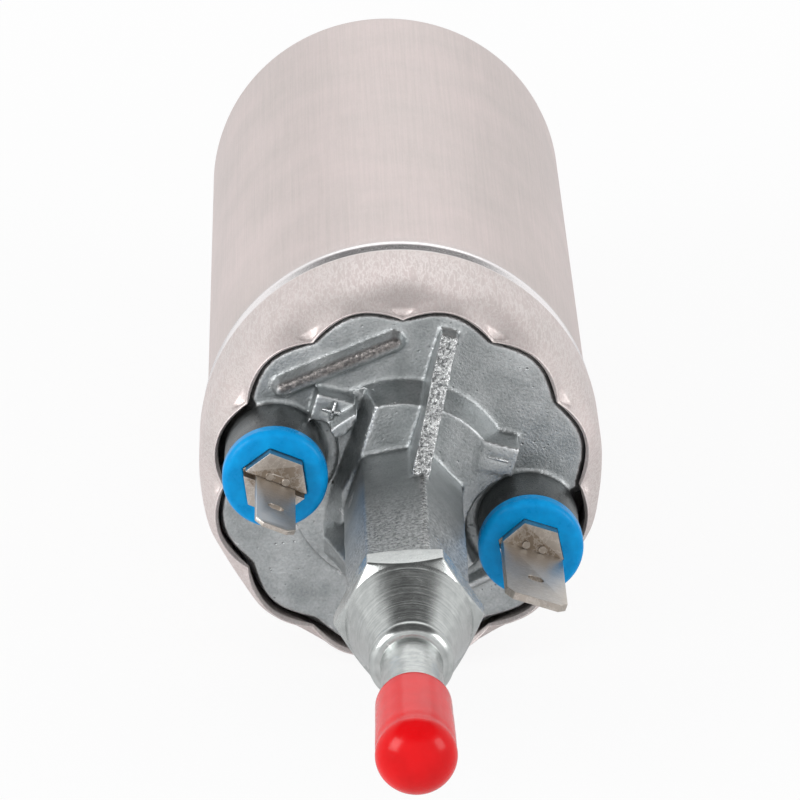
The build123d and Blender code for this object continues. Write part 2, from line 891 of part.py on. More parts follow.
with BuildPart() as valve_seat:
    turn(
        [
            (valve_seat_bore, shank_end_y),
            (valve_chamber_radius - press_gap, shank_end_y),
            (valve_chamber_radius - press_gap, seat_face_y),
            (valve_seat_bore, seat_face_y),
        ]
    )
finish(valve_seat, "valve_seat")

poppet_back_y = poppet_flange_y - poppet_flange
with BuildPart() as valve_poppet:
    turn(
        [
            (0, poppet_flange_y + poppet_seal_thickness + poppet_nose_length),
            (poppet_nose_radius / 2, poppet_flange_y + poppet_seal_thickness + poppet_nose_length),
            (poppet_nose_radius, poppet_flange_y + poppet_seal_thickness),
            (poppet_nose_radius, poppet_flange_y),
            (poppet_radius, poppet_flange_y),
            (poppet_radius, poppet_back_y),
            (poppet_stem_radius, poppet_back_y),
            (poppet_stem_radius, poppet_back_y - poppet_stem_length),
            (0, poppet_back_y - poppet_stem_length),
        ]
    )
    with BuildSketch(outlet_plane(poppet_flange_y)) as notches:
        with PolarLocations(valve_chamber_radius, poppet_notch_count):
            Circle(poppet_notch_radius)
    extrude(notches.sketch, amount=poppet_flange, mode=Mode.SUBTRACT)
finish(valve_poppet, "valve_poppet")

with BuildPart() as poppet_seal:
    seal_radius = valve_chamber_radius - poppet_notch_radius
    turn(
        box_outline(
            poppet_nose_radius + press_gap,
            seal_radius,
            poppet_flange_y,
            poppet_flange_y + poppet_seal_thickness,
        )
    )
finish(poppet_seal, "poppet_seal")

with BuildPart() as valve_spring:
    spring_length = poppet_back_y - chamber_end_y - 2 * seat_gap
    wind_coil(
        outlet_plane(poppet_back_y - seat_gap),
        valve_spring_radius,
        valve_spring_wire,
        spring_length,
        valve_spring_turns,
        "valve_spring",
    )
finish(valve_spring, "valve_spring")


# Red cap: a tapered thimble with a domed end
def cap_outline(inset):
    """Half of the cap's section, drawn inwards by a wall."""
    mouth = cap_mouth_radius - inset
    side = cap_radius - inset
    with BuildSketch(Plane.XY) as face:
        with BuildLine():
            Line((0, cap_mouth_y), (mouth, cap_mouth_y))
            Line((mouth, cap_mouth_y), (side, cap_dome_y))
            EllipticalCenterArc((0, cap_dome_y), side, cap_dome - inset, start_angle=-90, arc_size=90)
            Line((0, cap_dome_y - cap_dome + inset), (0, cap_mouth_y))
        make_face()
    return face.sketch


with BuildPart() as outlet_cap:
    revolve(cap_outline(0), axis=Axis.Y)
    revolve(cap_outline(cap_wall), axis=Axis.Y, mode=Mode.SUBTRACT)
finish(outlet_cap, "outlet_cap")


# Bearings and armature
with BuildPart() as front_bush:
    turn(box_outline(bush_bore, bush_radius - press_gap, bush_y, hub_end_y))
finish(front_bush, "front_bush")

with BuildPart() as rear_bush:
    turn(box_outline(bush_bore, bush_radius - press_gap, port_y, ring_y))
finish(rear_bush, "rear_bush")

with BuildPart() as thrust_washer:
    washer_end_y = hub_end_y + seat_gap + thrust_washer_thickness
    turn(box_outline(bush_bore, thrust_washer_radius, hub_end_y + seat_gap, washer_end_y))
finish(thrust_washer, "thrust_washer")

with BuildPart() as armature_shaft:
    turn(box_outline(0, shaft_radius, bush_y + loose_gap, inlet_plate_y - shaft_chamfer))
    with BuildSketch(outlet_plane(ring_y)) as flats:
        Circle(shaft_radius + cut_over)
        Rectangle(3 * shaft_radius, tang_width, mode=Mode.SUBTRACT)
    extrude(flats.sketch, amount=-ring_length, mode=Mode.SUBTRACT)
    ends = armature_shaft.edges().filter_by(GeomType.CIRCLE).group_by(Axis.Y)[0]
    chamfer(ends, shaft_chamfer)
finish(armature_shaft, "armature_shaft")

with BuildPart() as lamination_stack:
    with BuildSketch(outlet_plane(core_y)) as core:
        Circle(core_radius)
        Circle(shaft_radius + press_gap, mode=Mode.SUBTRACT)
        with PolarLocations(0, core_slot_count):
            with Locations(((core_slot_inner + core_slot_outer) / 2, 0)):
                Trapezoid(
                    2 * core_slot_radius * core_slot_outer / core_slot_inner,
                    core_slot_outer - core_slot_inner,
                    90 - 180 / core_slot_count,
                    rotation=90,
                    mode=Mode.SUBTRACT,
                )
            with Locations((core_radius, 0)):
                mouth_length = 2 * (core_radius - core_slot_outer) + cut_over
                Rectangle(mouth_length, core_slot_mouth, mode=Mode.SUBTRACT)
    extrude(core.sketch, amount=-core_length)
finish(lamination_stack, "lamination_stack")

with BuildPart() as armature_windings:
    for start in (winding_y, rear_winding_y):
        turn(box_outline(winding_inner, winding_outer, start, start + winding_length))
    fillet(armature_windings.edges().filter_by(GeomType.CIRCLE), winding_round)
    with BuildSketch(outlet_plane(winding_y + winding_length / 2)) as bars:
        with PolarLocations(0, core_slot_count):
            with Locations(((core_slot_inner + core_slot_outer) / 2, 0)):
                Trapezoid(
                    2 * core_slot_radius * core_slot_outer / core_slot_inner - 2 * winding_gap,
                    core_slot_outer - core_slot_inner - 2 * winding_gap,
                    90 - 180 / core_slot_count,
                    rotation=90,
                )
    extrude(bars.sketch, amount=winding_y - rear_winding_y)
finish(armature_windings, "armature_windings")

with BuildPart() as commutator_hub:
    turn(box_outline(shaft_radius + press_gap, commutator_hub_radius, commutator_y, winding_y - loose_gap))
finish(commutator_hub, "commutator_hub")

with BuildPart() as commutator_bars:
    turn(
        [
            (commutator_hub_radius + press_gap, commutator_y),
            (commutator_radius, commutator_y),
            (commutator_radius, riser_y),
            (riser_radius, riser_y),
            (riser_radius, riser_y + riser_length),
            (commutator_hub_radius + press_gap, riser_y + riser_length),
        ]
    )
    with BuildSketch(outlet_plane(commutator_y)) as gaps:
        with PolarLocations(0, commutator_count, start_angle=180 / commutator_count):
            with Locations((riser_radius, 0)):
                Rectangle(riser_radius, commutator_gap)
    extrude(gaps.sketch, amount=-commutator_length - riser_length, mode=Mode.SUBTRACT)
finish(commutator_bars, "commutator_bars")


# Field: flux ring, two arc magnets and the clips that hold them apart
with BuildPart() as flux_ring:
    turn(box_outline(flux_ring_inner, flux_ring_radius, flux_y, port_y))
finish(flux_ring, "flux_ring")


def arc_ring(inner, outer, middle_angle, span, start, length, ends_round):
    """A piece of a ring round the pump axis, with rounded corners."""
    with BuildSketch(outlet_plane(start)) as face:
        with BuildLine():
            CenterArc((0, 0), outer, middle_angle - span / 2, span)
            CenterArc((0, 0), inner, middle_angle - span / 2, span)
            Line(polar_point(inner, middle_angle - span / 2), polar_point(outer, middle_angle - span / 2))
            Line(polar_point(inner, middle_angle + span / 2), polar_point(outer, middle_angle + span / 2))
        make_face()
        if ends_round:
            fillet(face.vertices(), ends_round)
    extrude(face.sketch, amount=-length)


for name, angle in (("magnet_upper", 90), ("magnet_lower", -90)):
    with BuildPart() as magnet:
        arc_ring(magnet_inner, magnet_radius, angle, magnet_span, magnet_y, magnet_length, magnet_round)
    finish(magnet, name)

with BuildPart() as magnet_clips:
    clip_span = 180 - magnet_span
    side_gap = math.degrees(magnet_gap / magnet_inner)
    tab_span = math.degrees(clip_thickness / magnet_inner)
    for angle in (0, 180):
        arc_ring(
            magnet_radius - clip_thickness,
            magnet_radius,
            angle,
            clip_span - 2 * side_gap,
            clip_y,
            clip_length,
            0,
        )
        for side in (-1, 1):
            arc_ring(
                magnet_radius - clip_tab,
                magnet_radius - clip_thickness / 2,
                angle + side * (clip_span - 2 * side_gap - tab_span) / 2,
                tab_span,
                clip_y,
                clip_length,
                0,
            )
finish(magnet_clips, "magnet_clips")


# Brush gear: holder, brass tubes, brushes and their springs
def radial_box(angle, inner, outer, width, height, mode=Mode.ADD):
    """A bar along a radius at the brushes' station."""
    x, z = polar_point(1, angle)
    plane = Plane(origin=(inner * x, brush_y, inner * z), x_dir=(-z, 0, x), z_dir=(x, 0, z))
    with BuildSketch(plane) as face:
        Rectangle(width, height)
    extrude(face.sketch, amount=outer - inner, mode=mode)


terminal_sides = {"plus": terminal_angle + 180, "minus": terminal_angle}
with BuildPart() as brush_holder:
    turn(box_outline(holder_bore, holder_radius, holder_y, holder_y + holder_length))
    channel_end_y = brush_y + tube_height / 2 + press_gap
    for name, angle in terminal_sides.items():
        x, z = polar_point(1, angle)
        channel_plane = Plane(origin=(0, channel_end_y, 0), x_dir=(x, 0, z), z_dir=(0, -1, 0))
        with BuildSketch(channel_plane) as channel:
            with Locations(((holder_bore + tube_outer_end) / 2 - cut_over / 2, 0)):
                channel_length = tube_outer_end - holder_bore + cut_over + 2 * press_gap
                Rectangle(channel_length, tube_width + 2 * press_gap)
        extrude(channel.sketch, amount=holder_length, mode=Mode.SUBTRACT)
    with BuildSketch(outlet_plane(holder_y)) as passages:
        first_passage = terminal_angle + 180 / holder_passage_count
        with PolarLocations(holder_passage_place, holder_passage_count, start_angle=first_passage):
            Circle(holder_passage_radius)
    extrude(passages.sketch, amount=-holder_length, mode=Mode.SUBTRACT)
finish(brush_holder, "brush_holder")

brush_start = commutator_radius + brush_face_gap
brush_end = brush_start + brush_length
for name, angle in terminal_sides.items():
    with BuildPart() as brush_tube:
        radial_box(angle, tube_inner_end, tube_outer_end, tube_width, tube_height)
        radial_box(
            angle,
            tube_inner_end,
            tube_outer_end - tube_wall,
            tube_width - 2 * tube_wall,
            tube_height - 2 * tube_wall,
            Mode.SUBTRACT,
        )
    finish(brush_tube, "brush_tube_" + name)

    with BuildPart() as brush:
        side = 2 * (tube_wall + slide_gap)
        radial_box(angle, commutator_radius / 2, brush_end, tube_width - side, tube_height - side)
        turn(box_outline(0, brush_start, commutator_y, riser_y), Mode.SUBTRACT)
    finish(brush, "brush_" + name)

    with BuildPart() as brush_spring:
        x, z = polar_point(1, angle)
        start = brush_end + seat_gap
        wind_coil(
            Plane(origin=(start * x, brush_y, start * z), z_dir=(x, 0, z)),
            brush_spring_radius,
            brush_spring_wire,
            tube_outer_end - tube_wall - seat_gap - start,
            brush_spring_turns,
            "brush_spring_" + name,
        )
    finish(brush_spring, "brush_spring_" + name)


# Pump stage: port plate, ring, two rotors, inlet plate, screws and the relief valve
def kidney(start, length, middle_angle):
    """Cut a kidney-shaped port through a plate."""
    first = middle_angle - kidney_span / 2
    with BuildSketch(outlet_plane(start)) as port:
        SlotArc(
            arc=CenterArc((0, 0), kidney_radius, first, kidney_span, mode=Mode.PRIVATE), height=kidney_width
        )
    extrude(port.sketch, amount=-length, mode=Mode.SUBTRACT)


def screw_holes(start, length, radius):
    """Cut the pump screws' holes."""
    with BuildSketch(outlet_plane(start)) as holes:
        with PolarLocations(screw_circle, screw_count, start_angle=screw_first_angle):
            Circle(radius)
    extrude(holes.sketch, amount=-length, mode=Mode.SUBTRACT)


relief = (relief_place, 0)
relief_seat_y = port_y + relief_seat_depth
with BuildPart() as port_plate:
    turn(box_outline(bush_radius, plate_radius, port_y, ring_y))
    kidney(port_y, port_plate_length, -90)
    screw_holes(ring_y - screw_thread_depth, screw_thread_depth, screw_radius + press_gap)
    turn_at(
        relief,
        [
            (0, port_y),
            (relief_port, port_y),
            (relief_port, relief_seat_y),
            (relief_bore, relief_seat_y),
            (relief_bore, ring_y),
            (0, ring_y),
        ],
        Mode.SUBTRACT,
    )
finish(port_plate, "port_plate")

with BuildPart() as pump_ring:
    turn(box_outline(0, plate_radius, ring_y, inlet_plate_y))
    ring_bore = box_outline(0, outer_rotor_radius + rotor_gap, ring_y, inlet_plate_y)
    turn_at((-rotor_offset, 0), ring_bore, Mode.SUBTRACT)
    screw_holes(ring_y, ring_length, screw_radius + press_gap)
    turn_at(relief, box_outline(0, relief_bore, ring_y, inlet_plate_y), Mode.SUBTRACT)
finish(pump_ring, "pump_ring")


def lobe_point(turned):
    """A point on the inner rotor, which rolls inside the outer rotor's round teeth."""
    pins = rotor_lobes + 1
    reach = rotor_pin_circle / (rotor_offset * pins)
    lean = math.atan2(math.sin(rotor_lobes * turned), reach - math.cos(rotor_lobes * turned))
    pin = rotor_pin_radius + rotor_gap
    x = rotor_pin_circle * math.cos(turned) - pin * math.cos(turned - lean)
    z = rotor_pin_circle * math.sin(turned) - pin * math.sin(turned - lean)
    return (x - rotor_offset * math.cos(pins * turned), z - rotor_offset * math.sin(pins * turned))


with BuildPart() as inner_rotor:
    with BuildSketch(outlet_plane(rotor_y)) as lobes:
        points_per_lobe = 32
        count = rotor_lobes * points_per_lobe
        with BuildLine():
            Spline(*[lobe_point(2 * math.pi * i / count) for i in range(count)], periodic=True)
        make_face()
    extrude(lobes.sketch, amount=-rotor_length)
    with BuildSketch(outlet_plane(ring_y)) as tang_hole:
        Circle(shaft_radius + tang_gap)
        Rectangle(4 * shaft_radius, tang_width + 2 * tang_gap, mode=Mode.INTERSECT)
    extrude(tang_hole.sketch, amount=-ring_length, mode=Mode.SUBTRACT)
finish(inner_rotor, "inner_rotor")

with BuildPart() as outer_rotor:
    rotor_root = rotor_pin_circle - rotor_pin_radius + 2 * rotor_offset + rotor_root_gap
    rotor_blank = box_outline(rotor_root, outer_rotor_radius, rotor_y, rotor_y + rotor_length)
    turn_at((-rotor_offset, 0), rotor_blank)
    with BuildSketch(outlet_plane(rotor_y)) as teeth:
        with Locations((-rotor_offset, 0)):
            with PolarLocations(rotor_pin_circle, rotor_lobes + 1):
                Circle(rotor_pin_radius)
            Circle(outer_rotor_radius - outer_rotor_fillet, mode=Mode.INTERSECT)
    extrude(teeth.sketch, amount=-rotor_length)
finish(outer_rotor, "outer_rotor")

plug_end_y = skirt_y - relief_plug_length
with BuildPart() as inlet_plate:
    turn(
        [
            (0, inlet_plate_y),
            (plate_radius, inlet_plate_y),
            (plate_radius, can_floor_y - skirt_chamfer),
            (plate_radius - skirt_chamfer, can_floor_y),
            (skirt_inner, can_floor_y),
            (skirt_inner, can_floor_y - skirt_length / 4),
            (plate_radius - relief_plug_radius / 2, skirt_y + skirt_length / 4),
            (plate_radius - relief_plug_radius / 2, skirt_y),
            (0, skirt_y),
        ]
    )
    kidney(inlet_plate_y, inlet_plate_length, 90)
    screw_holes(inlet_plate_y, inlet_plate_length, screw_radius + press_gap)
    turn_at(
        relief,
        [
            (0, inlet_plate_y),
            (relief_bore, inlet_plate_y),
            (relief_bore, plug_end_y),
            (relief_plug_radius + press_gap, plug_end_y),
            (relief_plug_radius + press_gap, skirt_y + cut_over),
            (0, skirt_y + cut_over),
        ],
        Mode.SUBTRACT,
    )
finish(inlet_plate, "inlet_plate")

with BuildPart() as pump_screws:
    screw_end_y = ring_y - screw_thread_depth + seat_gap
    with BuildSketch(outlet_plane(screw_end_y)) as shanks:
        with PolarLocations(screw_circle, screw_count, start_angle=screw_first_angle):
            Circle(screw_radius)
    extrude(shanks.sketch, amount=screw_end_y - skirt_y)
    with BuildSketch(outlet_plane(skirt_y)) as heads:
        with PolarLocations(screw_circle, screw_count, start_angle=screw_first_angle):
            Circle(screw_head_radius)
    extrude(heads.sketch, amount=-screw_head_length)
    with BuildSketch(outlet_plane(skirt_y + screw_head_length)) as sockets:
        with PolarLocations(screw_circle, screw_count, start_angle=screw_first_angle):
            RegularPolygon(screw_socket_width / 2, 6, major_radius=False)
    extrude(sockets.sketch, amount=screw_socket_depth, mode=Mode.SUBTRACT)
finish(pump_screws, "pump_screws")

ball_lift = math.sqrt(relief_ball_radius**2 - relief_port**2) + seat_gap
ball_y = relief_seat_y + ball_lift
with BuildPart() as relief_ball:
    with Locations((relief_place, ball_y, 0)):
        Sphere(relief_ball_radius)
finish(relief_ball, "relief_ball")

with BuildPart() as relief_spring:
    wire_reach = relief_ball_radius + relief_spring_wire + seat_gap
    spring_start_y = ball_y + math.sqrt(wire_reach**2 - relief_spring_radius**2) - relief_spring_wire
    wind_coil(
        Plane(origin=(relief_place, spring_start_y, 0), z_dir=(0, 1, 0)),
        relief_spring_radius,
        relief_spring_wire,
        plug_end_y - seat_gap - spring_start_y,
        relief_spring_turns,
        "relief_spring",
    )
finish(relief_spring, "relief_spring")

with BuildPart() as relief_plug:
    turn_at(relief, box_outline(relief_plug_bore, relief_plug_radius, plug_end_y, skirt_y))
finish(relief_plug, "relief_plug")


# Inlet: hose nipple, its gasket and the strainer
with BuildPart() as inlet_nipple:
    nipple_end_y = can_end_y + nipple_reach
    turn(
        [
            (nipple_bore, nipple_flange_y - nipple_flange_length),
            (nipple_flange_radius, nipple_flange_y - nipple_flange_length),
            (nipple_flange_radius, nipple_flange_y),
            (nipple_root_radius, nipple_flange_y),
            (nipple_root_radius, can_end_y + nipple_root_length),
            (nipple_radius, can_end_y + nipple_root_length),
            (nipple_radius, nipple_end_y - nipple_lead),
            (nipple_tip_radius, nipple_end_y),
            (nipple_bore, nipple_end_y),
        ]
    )
finish(inlet_nipple, "inlet_nipple")

with BuildPart() as inlet_seal:
    turn(box_outline(nipple_root_radius + seat_gap, nipple_flange_radius, nipple_flange_y, can_floor_y))
finish(inlet_seal, "inlet_seal")

with BuildPart() as inlet_strainer:
    strainer_y = nipple_flange_y - nipple_flange_length
    strainer_end_y = strainer_y - strainer_length
    turn(
        [
            (strainer_radius, strainer_y),
            (strainer_tip_radius, strainer_end_y),
            (0, strainer_end_y),
            (0, strainer_end_y + strainer_wall),
            (strainer_tip_radius - strainer_wall, strainer_end_y + strainer_wall),
            (strainer_radius - strainer_wall, strainer_y),
        ]
    )
    with BuildSketch(outlet_plane(strainer_end_y)) as holes:
        for ring in strainer_hole_rings:
            with PolarLocations(ring, strainer_hole_count):
                Circle(strainer_hole)
    extrude(holes.sketch, amount=-strainer_wall, mode=Mode.SUBTRACT)
finish(inlet_strainer, "inlet_strainer")
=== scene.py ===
import json
import math

import bmesh
import bpy
import numpy as np
from mathutils import Matrix, Vector, noise


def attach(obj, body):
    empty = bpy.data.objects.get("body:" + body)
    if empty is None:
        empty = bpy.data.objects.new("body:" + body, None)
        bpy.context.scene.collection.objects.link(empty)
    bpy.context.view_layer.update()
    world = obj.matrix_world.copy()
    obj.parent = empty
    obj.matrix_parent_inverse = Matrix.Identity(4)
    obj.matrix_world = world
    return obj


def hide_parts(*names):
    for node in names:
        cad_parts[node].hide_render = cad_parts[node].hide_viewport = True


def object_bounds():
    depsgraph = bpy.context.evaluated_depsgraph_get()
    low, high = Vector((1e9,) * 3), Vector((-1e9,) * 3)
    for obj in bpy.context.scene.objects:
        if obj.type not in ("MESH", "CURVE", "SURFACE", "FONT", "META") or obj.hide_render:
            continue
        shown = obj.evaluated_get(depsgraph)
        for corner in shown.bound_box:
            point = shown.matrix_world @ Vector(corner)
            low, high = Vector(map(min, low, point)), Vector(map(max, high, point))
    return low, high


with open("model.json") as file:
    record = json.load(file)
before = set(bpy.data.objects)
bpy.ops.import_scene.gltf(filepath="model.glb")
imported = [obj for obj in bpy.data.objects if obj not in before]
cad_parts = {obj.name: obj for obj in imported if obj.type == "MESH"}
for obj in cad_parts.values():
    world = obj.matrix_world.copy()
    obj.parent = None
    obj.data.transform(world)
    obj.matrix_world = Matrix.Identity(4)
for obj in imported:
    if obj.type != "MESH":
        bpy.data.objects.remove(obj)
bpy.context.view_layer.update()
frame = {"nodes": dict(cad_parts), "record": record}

scene = bpy.context.scene
scene.view_settings.view_transform = "Standard"
mm = 0.001

# Camera: a long lens, well back from the outlet end of the pump and a little above it.
# The angles, distance and shifts across the view put the pump where the photograph has it.
azimuth, elevation, roll = (math.radians(a) for a in (-1.33, 22.36, 0.35))
camera_distance = 865.9
camera_right = -0.3
camera_up = 13.2
camera_lens = 255.1
aim_y = -80.0

back = Vector(
    (
        math.sin(azimuth) * math.cos(elevation),
        -math.cos(azimuth) * math.cos(elevation),
        math.sin(elevation),
    )
)
level = (-back).cross(Vector((0, 0, 1))).normalized()
upright = level.cross(-back)
right = level * math.cos(roll) + upright * math.sin(roll)
up = upright * math.cos(roll) - level * math.sin(roll)
camera = bpy.data.objects.new("camera", bpy.data.cameras.new("camera"))
scene.collection.objects.link(camera)
camera.data.sensor_width = 36
camera.data.lens = camera_lens
camera.data.clip_end = 100
camera_place = Vector((0, aim_y, 0)) + back * camera_distance
camera_place += right * camera_right + up * camera_up
camera_turn = Matrix((right, up, back)).transposed().to_4x4()
camera.matrix_world = Matrix.Translation(camera_place * mm) @ camera_turn
scene.camera = camera


# Studio: a pale table top under the band of the can, a white room, and three soft lamps.
# The room is white to the eye and, all round, to polished metal; its ceiling is dark, which
# gives the upper sides of the metal their deep reflections.
class Shade:
    """A shader socket that takes part in sums: each sign adds the Math node it stands for."""

    def __init__(self, graph, socket):
        self.graph = graph
        self.socket = socket

    def output(self, name):
        return Shade(self.graph, self.socket.node.outputs[name])

    def math(self, operation, *values):
        return self.graph.node("Math", {"operation": operation}, dict(enumerate(values)))

    def held(self):
        """Kept between 0 and 1."""
        return self.graph.node("Math", {"operation": "ADD", "use_clamp": True}, {0: self, 1: 0.0})

    def rise(self, start, run):
        """From 0 at the start to 1 a run later; a run below 0 makes it the other way round."""
        return ((self - start) / run).held()

    def within(self, centre, reach, soft):
        """1 around a centre and 0 beyond a reach from it, over a soft edge inside the reach."""
        return ((reach - abs(self - centre)) / soft).held()

    def __add__(self, other):
        return self.math("ADD", self, other)

    def __sub__(self, other):
        return self.math("SUBTRACT", self, other)

    def __rsub__(self, other):
        return self.math("SUBTRACT", other, self)

    def __mul__(self, other):
        return self.math("MULTIPLY", self, other)

    def __truediv__(self, other):
        return self.math("DIVIDE", self, other)

    def __pow__(self, other):
        return self.math("POWER", self, other)

    def __abs__(self):
        return self.math("ABSOLUTE", self)

    __radd__ = __add__
    __rmul__ = __mul__


class Graph:
    """The nodes of one material, or of the room."""

    def __init__(self, holder):
        holder.use_nodes = True
        self.holder = holder
        self.tree = holder.node_tree

    def plug(self, value, socket):
        if isinstance(value, Shade):
            self.tree.links.new(value.socket, socket)
        elif socket.type == "RGBA" and len(value) == 3:
            socket.default_value = (*value, 1.0)
        else:
            socket.default_value = value

    def node(self, kind, settings, sockets, output=0):
        """Add a node: its settings first, then the values or links of its sockets."""
        made = self.tree.nodes.new("ShaderNode" + kind)
        for name, value in settings.items():
            if name == "stops":
                elements = made.color_ramp.elements
                elements.remove(elements[1])
                elements[0].position, elements[0].color = value[0][0], (*value[0][1], 1.0)
                for place, colour in value[1:]:
                    elements.new(place).color = (*colour, 1.0)
            else:
                setattr(made, name, value)
        for name, value in sockets.items():
            self.plug(value, made.inputs[name])
        return Shade(self, made.outputs[output])

    def place(self, x=1.0, y=1.0, z=1.0):
        """The place on the piece in millimetres, each axis counted x, y or z times."""
        here = self.node("TexCoord", {}, {}, "Object")
        counts = (x / mm, y / mm, z / mm)
        return self.node("VectorMath", {"operation": "MULTIPLY"}, {0: here, 1: counts})

    def speckle(self, place, size, detail=3.0, roughness=0.55):
        """Cloudy noise from 0 to 1 with patches of about a size in millimetres."""
        sockets = {"Vector": place, "Scale": 1 / size, "Detail": detail, "Roughness": roughness}
        return self.node("TexNoise", {}, sockets)

    def blend(self, share, first, second):
        return self.node("Mix", {"data_type": "RGBA"}, {0: share, 6: first, 7: second}, 2)

    def ramp(self, value, stops):
        return self.node("ValToRGB", {"stops": stops}, {0: value})

    def surface(self, **sockets):
        """Set the surface's own sockets, by name with _ for each space."""
        shader = self.tree.nodes["Principled BSDF"]
        for name, value in sockets.items():
            self.plug(value, shader.inputs[name.replace("_", " ")])
        return self.holder

    def relief(self, height, depth, strength=1.0):
        """A bumped normal from a height of 0 to 1 that stands for a depth in millimetres."""
        sockets = {"Height": height, "Strength": strength, "Distance": depth * mm}
        return self.node("Bump", {}, sockets)


def new_finish(name):
    return Graph(bpy.data.materials.new(name))


room_light = 0.66
ceiling_share = 0.14
ceiling_from = 0.52
ceiling_blend = 0.22
floor_tint = (0.86, 0.86, 0.865)
floor_lift = 0.90
floor_half = 2.5
floor_fade_from = 0.10
floor_fade_run = 0.40

scene.world = bpy.data.worlds.new("room")
room = Graph(scene.world)
seen = room.node("LightPath", {}, {}, "Is Camera Ray")
mirrored = seen.output("Is Glossy Ray") + seen.output("Is Transmission Ray")
looked_up = room.node("SeparateXYZ", {}, {0: room.node("TexCoord", {}, {}, "Generated")}, "Z")
ceiling = looked_up.rise(ceiling_from, ceiling_blend)
mirror_light = 1 - (1 - ceiling_share) * ceiling
strength = (seen + mirrored * mirror_light + (1 - seen - mirrored) * room_light).held()
background = room.tree.nodes["Background"]
background.inputs["Color"].default_value = (1, 1, 1, 1)
room.plug(strength, background.inputs["Strength"])

floor_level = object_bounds()[0].z
floor_mesh = bpy.data.meshes.new("table_top")
floor_sides = ((-1, -1), (1, -1), (1, 1), (-1, 1))
floor_corners = [(x * floor_half, y * floor_half, floor_level) for x, y in floor_sides]
floor_mesh.from_pydata(floor_corners, [], [(0, 1, 2, 3)])
floor = bpy.data.objects.new("table_top", floor_mesh)
scene.collection.objects.link(floor)
table = new_finish("pale_table_top")
matt = table.node("BsdfDiffuse", {}, {"Color": floor_tint})
glow = table.node("Emission", {}, {"Color": (1, 1, 1), "Strength": 1.0})
table_place = table.node("TexCoord", {}, {}, "Object")
away = table.node("VectorMath", {"operation": "LENGTH"}, {0: table_place}, "Value")
lifted = floor_lift + (1 - floor_lift) * away.rise(floor_fade_from, floor_fade_run)
seen_floor = table.node("LightPath", {}, {}, "Is Camera Ray") * lifted
both = table.node("MixShader", {}, {0: seen_floor, 1: matt, 2: glow})
table.plug(both, table.tree.nodes["Material Output"].inputs["Surface"])
floor_mesh.materials.append(table.holder)

lamps_aim = Vector((0, -0.08, 0))
lamps = (
    ("lamp_left", (-0.80, -0.60, 0.40), 0.50, 5.2),
    ("lamp_right", (0.85, -0.50, 0.38), 0.45, 2.8),
    ("lamp_back", (0.05, 0.80, 0.62), 0.70, 1.0),
)
for lamp_name, lamp_place, lamp_size, lamp_power in lamps:
    data = bpy.data.lights.new(lamp_name, "AREA")
    data.size = lamp_size
    data.energy = lamp_power
    lamp = bpy.data.objects.new(lamp_name, data)
    lamp.location = lamp_place
    lamp.rotation_mode = "QUATERNION"
    lamp.rotation_quaternion = (lamps_aim - Vector(lamp_place)).to_track_quat("-Z", "Y")
    scene.collection.objects.link(lamp)


# Can: one deep-drawn aluminium shell, with a planished bead where its wider band begins. The
# band is crimped over the end cover in twelve lobes, and a punch mark at the foot of each
# valley between lobes locks the cover. A pale ring along the shoulder is a painted highlight.
def rounded(corners, spacing, steps=5):
    """An outline through (radius, station, rounding) corners, with points a spacing apart."""
    outline = []
    for i, (radius, station, rounding) in enumerate(corners):
        corner = Vector((radius, station))
        if rounding:
            before = Vector(corners[i - 1][:2]) - corner
            after = Vector(corners[(i + 1) % len(corners)][:2]) - corner
            start = corner + before.normalized() * min(rounding, before.length / 2)
            end = corner + after.normalized() * min(rounding, after.length / 2)
            for step in range(steps + 1):
                t = step / steps
                outline.append(start * (1 - t) ** 2 + corner * (2 * t * (1 - t)) + end * t * t)
        else:
            outline.append(corner)
    dense = []
    for i, point in enumerate(outline):
        following = outline[(i + 1) % len(outline)]
        if i + 1 == len(outline) and corners[0][0] == corners[-1][0] == 0:
            dense.append(point)
            break
        count = max(1, round((following - point).length / spacing(point, following)))
        dense += [point.lerp(following, step / count) for step in range(count)]
    return [(point.x, point.y) for point in dense]


def mesh_of(name, points, faces):
    """A mesh from points and faces, its faces turned outwards."""
    mesh = bpy.data.meshes.new(name)
    mesh.from_pydata([tuple(point) for point in points], [], faces)
    solid = bmesh.new()
    solid.from_mesh(mesh)
    bmesh.ops.recalc_face_normals(solid, faces=solid.faces)
    solid.to_mesh(mesh)
    solid.free()
    return mesh


def make_piece(name, points, faces, body, material):
    """A piece from points in millimetres, riding on a body and material."""
    mesh = mesh_of(name, np.asarray(points) * mm, faces)
    mesh.polygons.foreach_set("use_smooth", [True] * len(mesh.polygons))
    mesh.materials.append(material)
    piece = bpy.data.objects.new(name, mesh)
    scene.collection.objects.link(piece)
    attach(piece, body)
    return piece


def turned(outline, columns, reach=None):
    """Points and faces of a skin turned about the pump axis from (radius, station) points.

    Reach gives the radius at each angle from the angles, the outline's radius and the station.
    """
    angles = np.linspace(0, 2 * math.pi, columns, endpoint=False)
    points, rows = [], []
    for radius, station in outline:
        if radius == 0:
            rows.append([len(points)] * columns)
            points.append((0.0, station, 0.0))
            continue
        reached = reach(angles, radius, station) if reach else np.full(columns, radius)
        rows.append(list(range(len(points), len(points) + columns)))
        points += [(r * math.cos(a), station, r * math.sin(a)) for r, a in zip(reached, angles)]
    faces = []
    open_ended = outline[0][0] == outline[-1][0] == 0
    for i in range(len(rows) - 1 if open_ended else len(rows)):
        this, following = rows[i], rows[(i + 1) % len(rows)]
        for j in range(columns):
            k = (j + 1) % columns
            corners = [this[j], this[k], following[k], following[j]]
            faces.append(tuple(dict.fromkeys(corners)))
    return points, faces


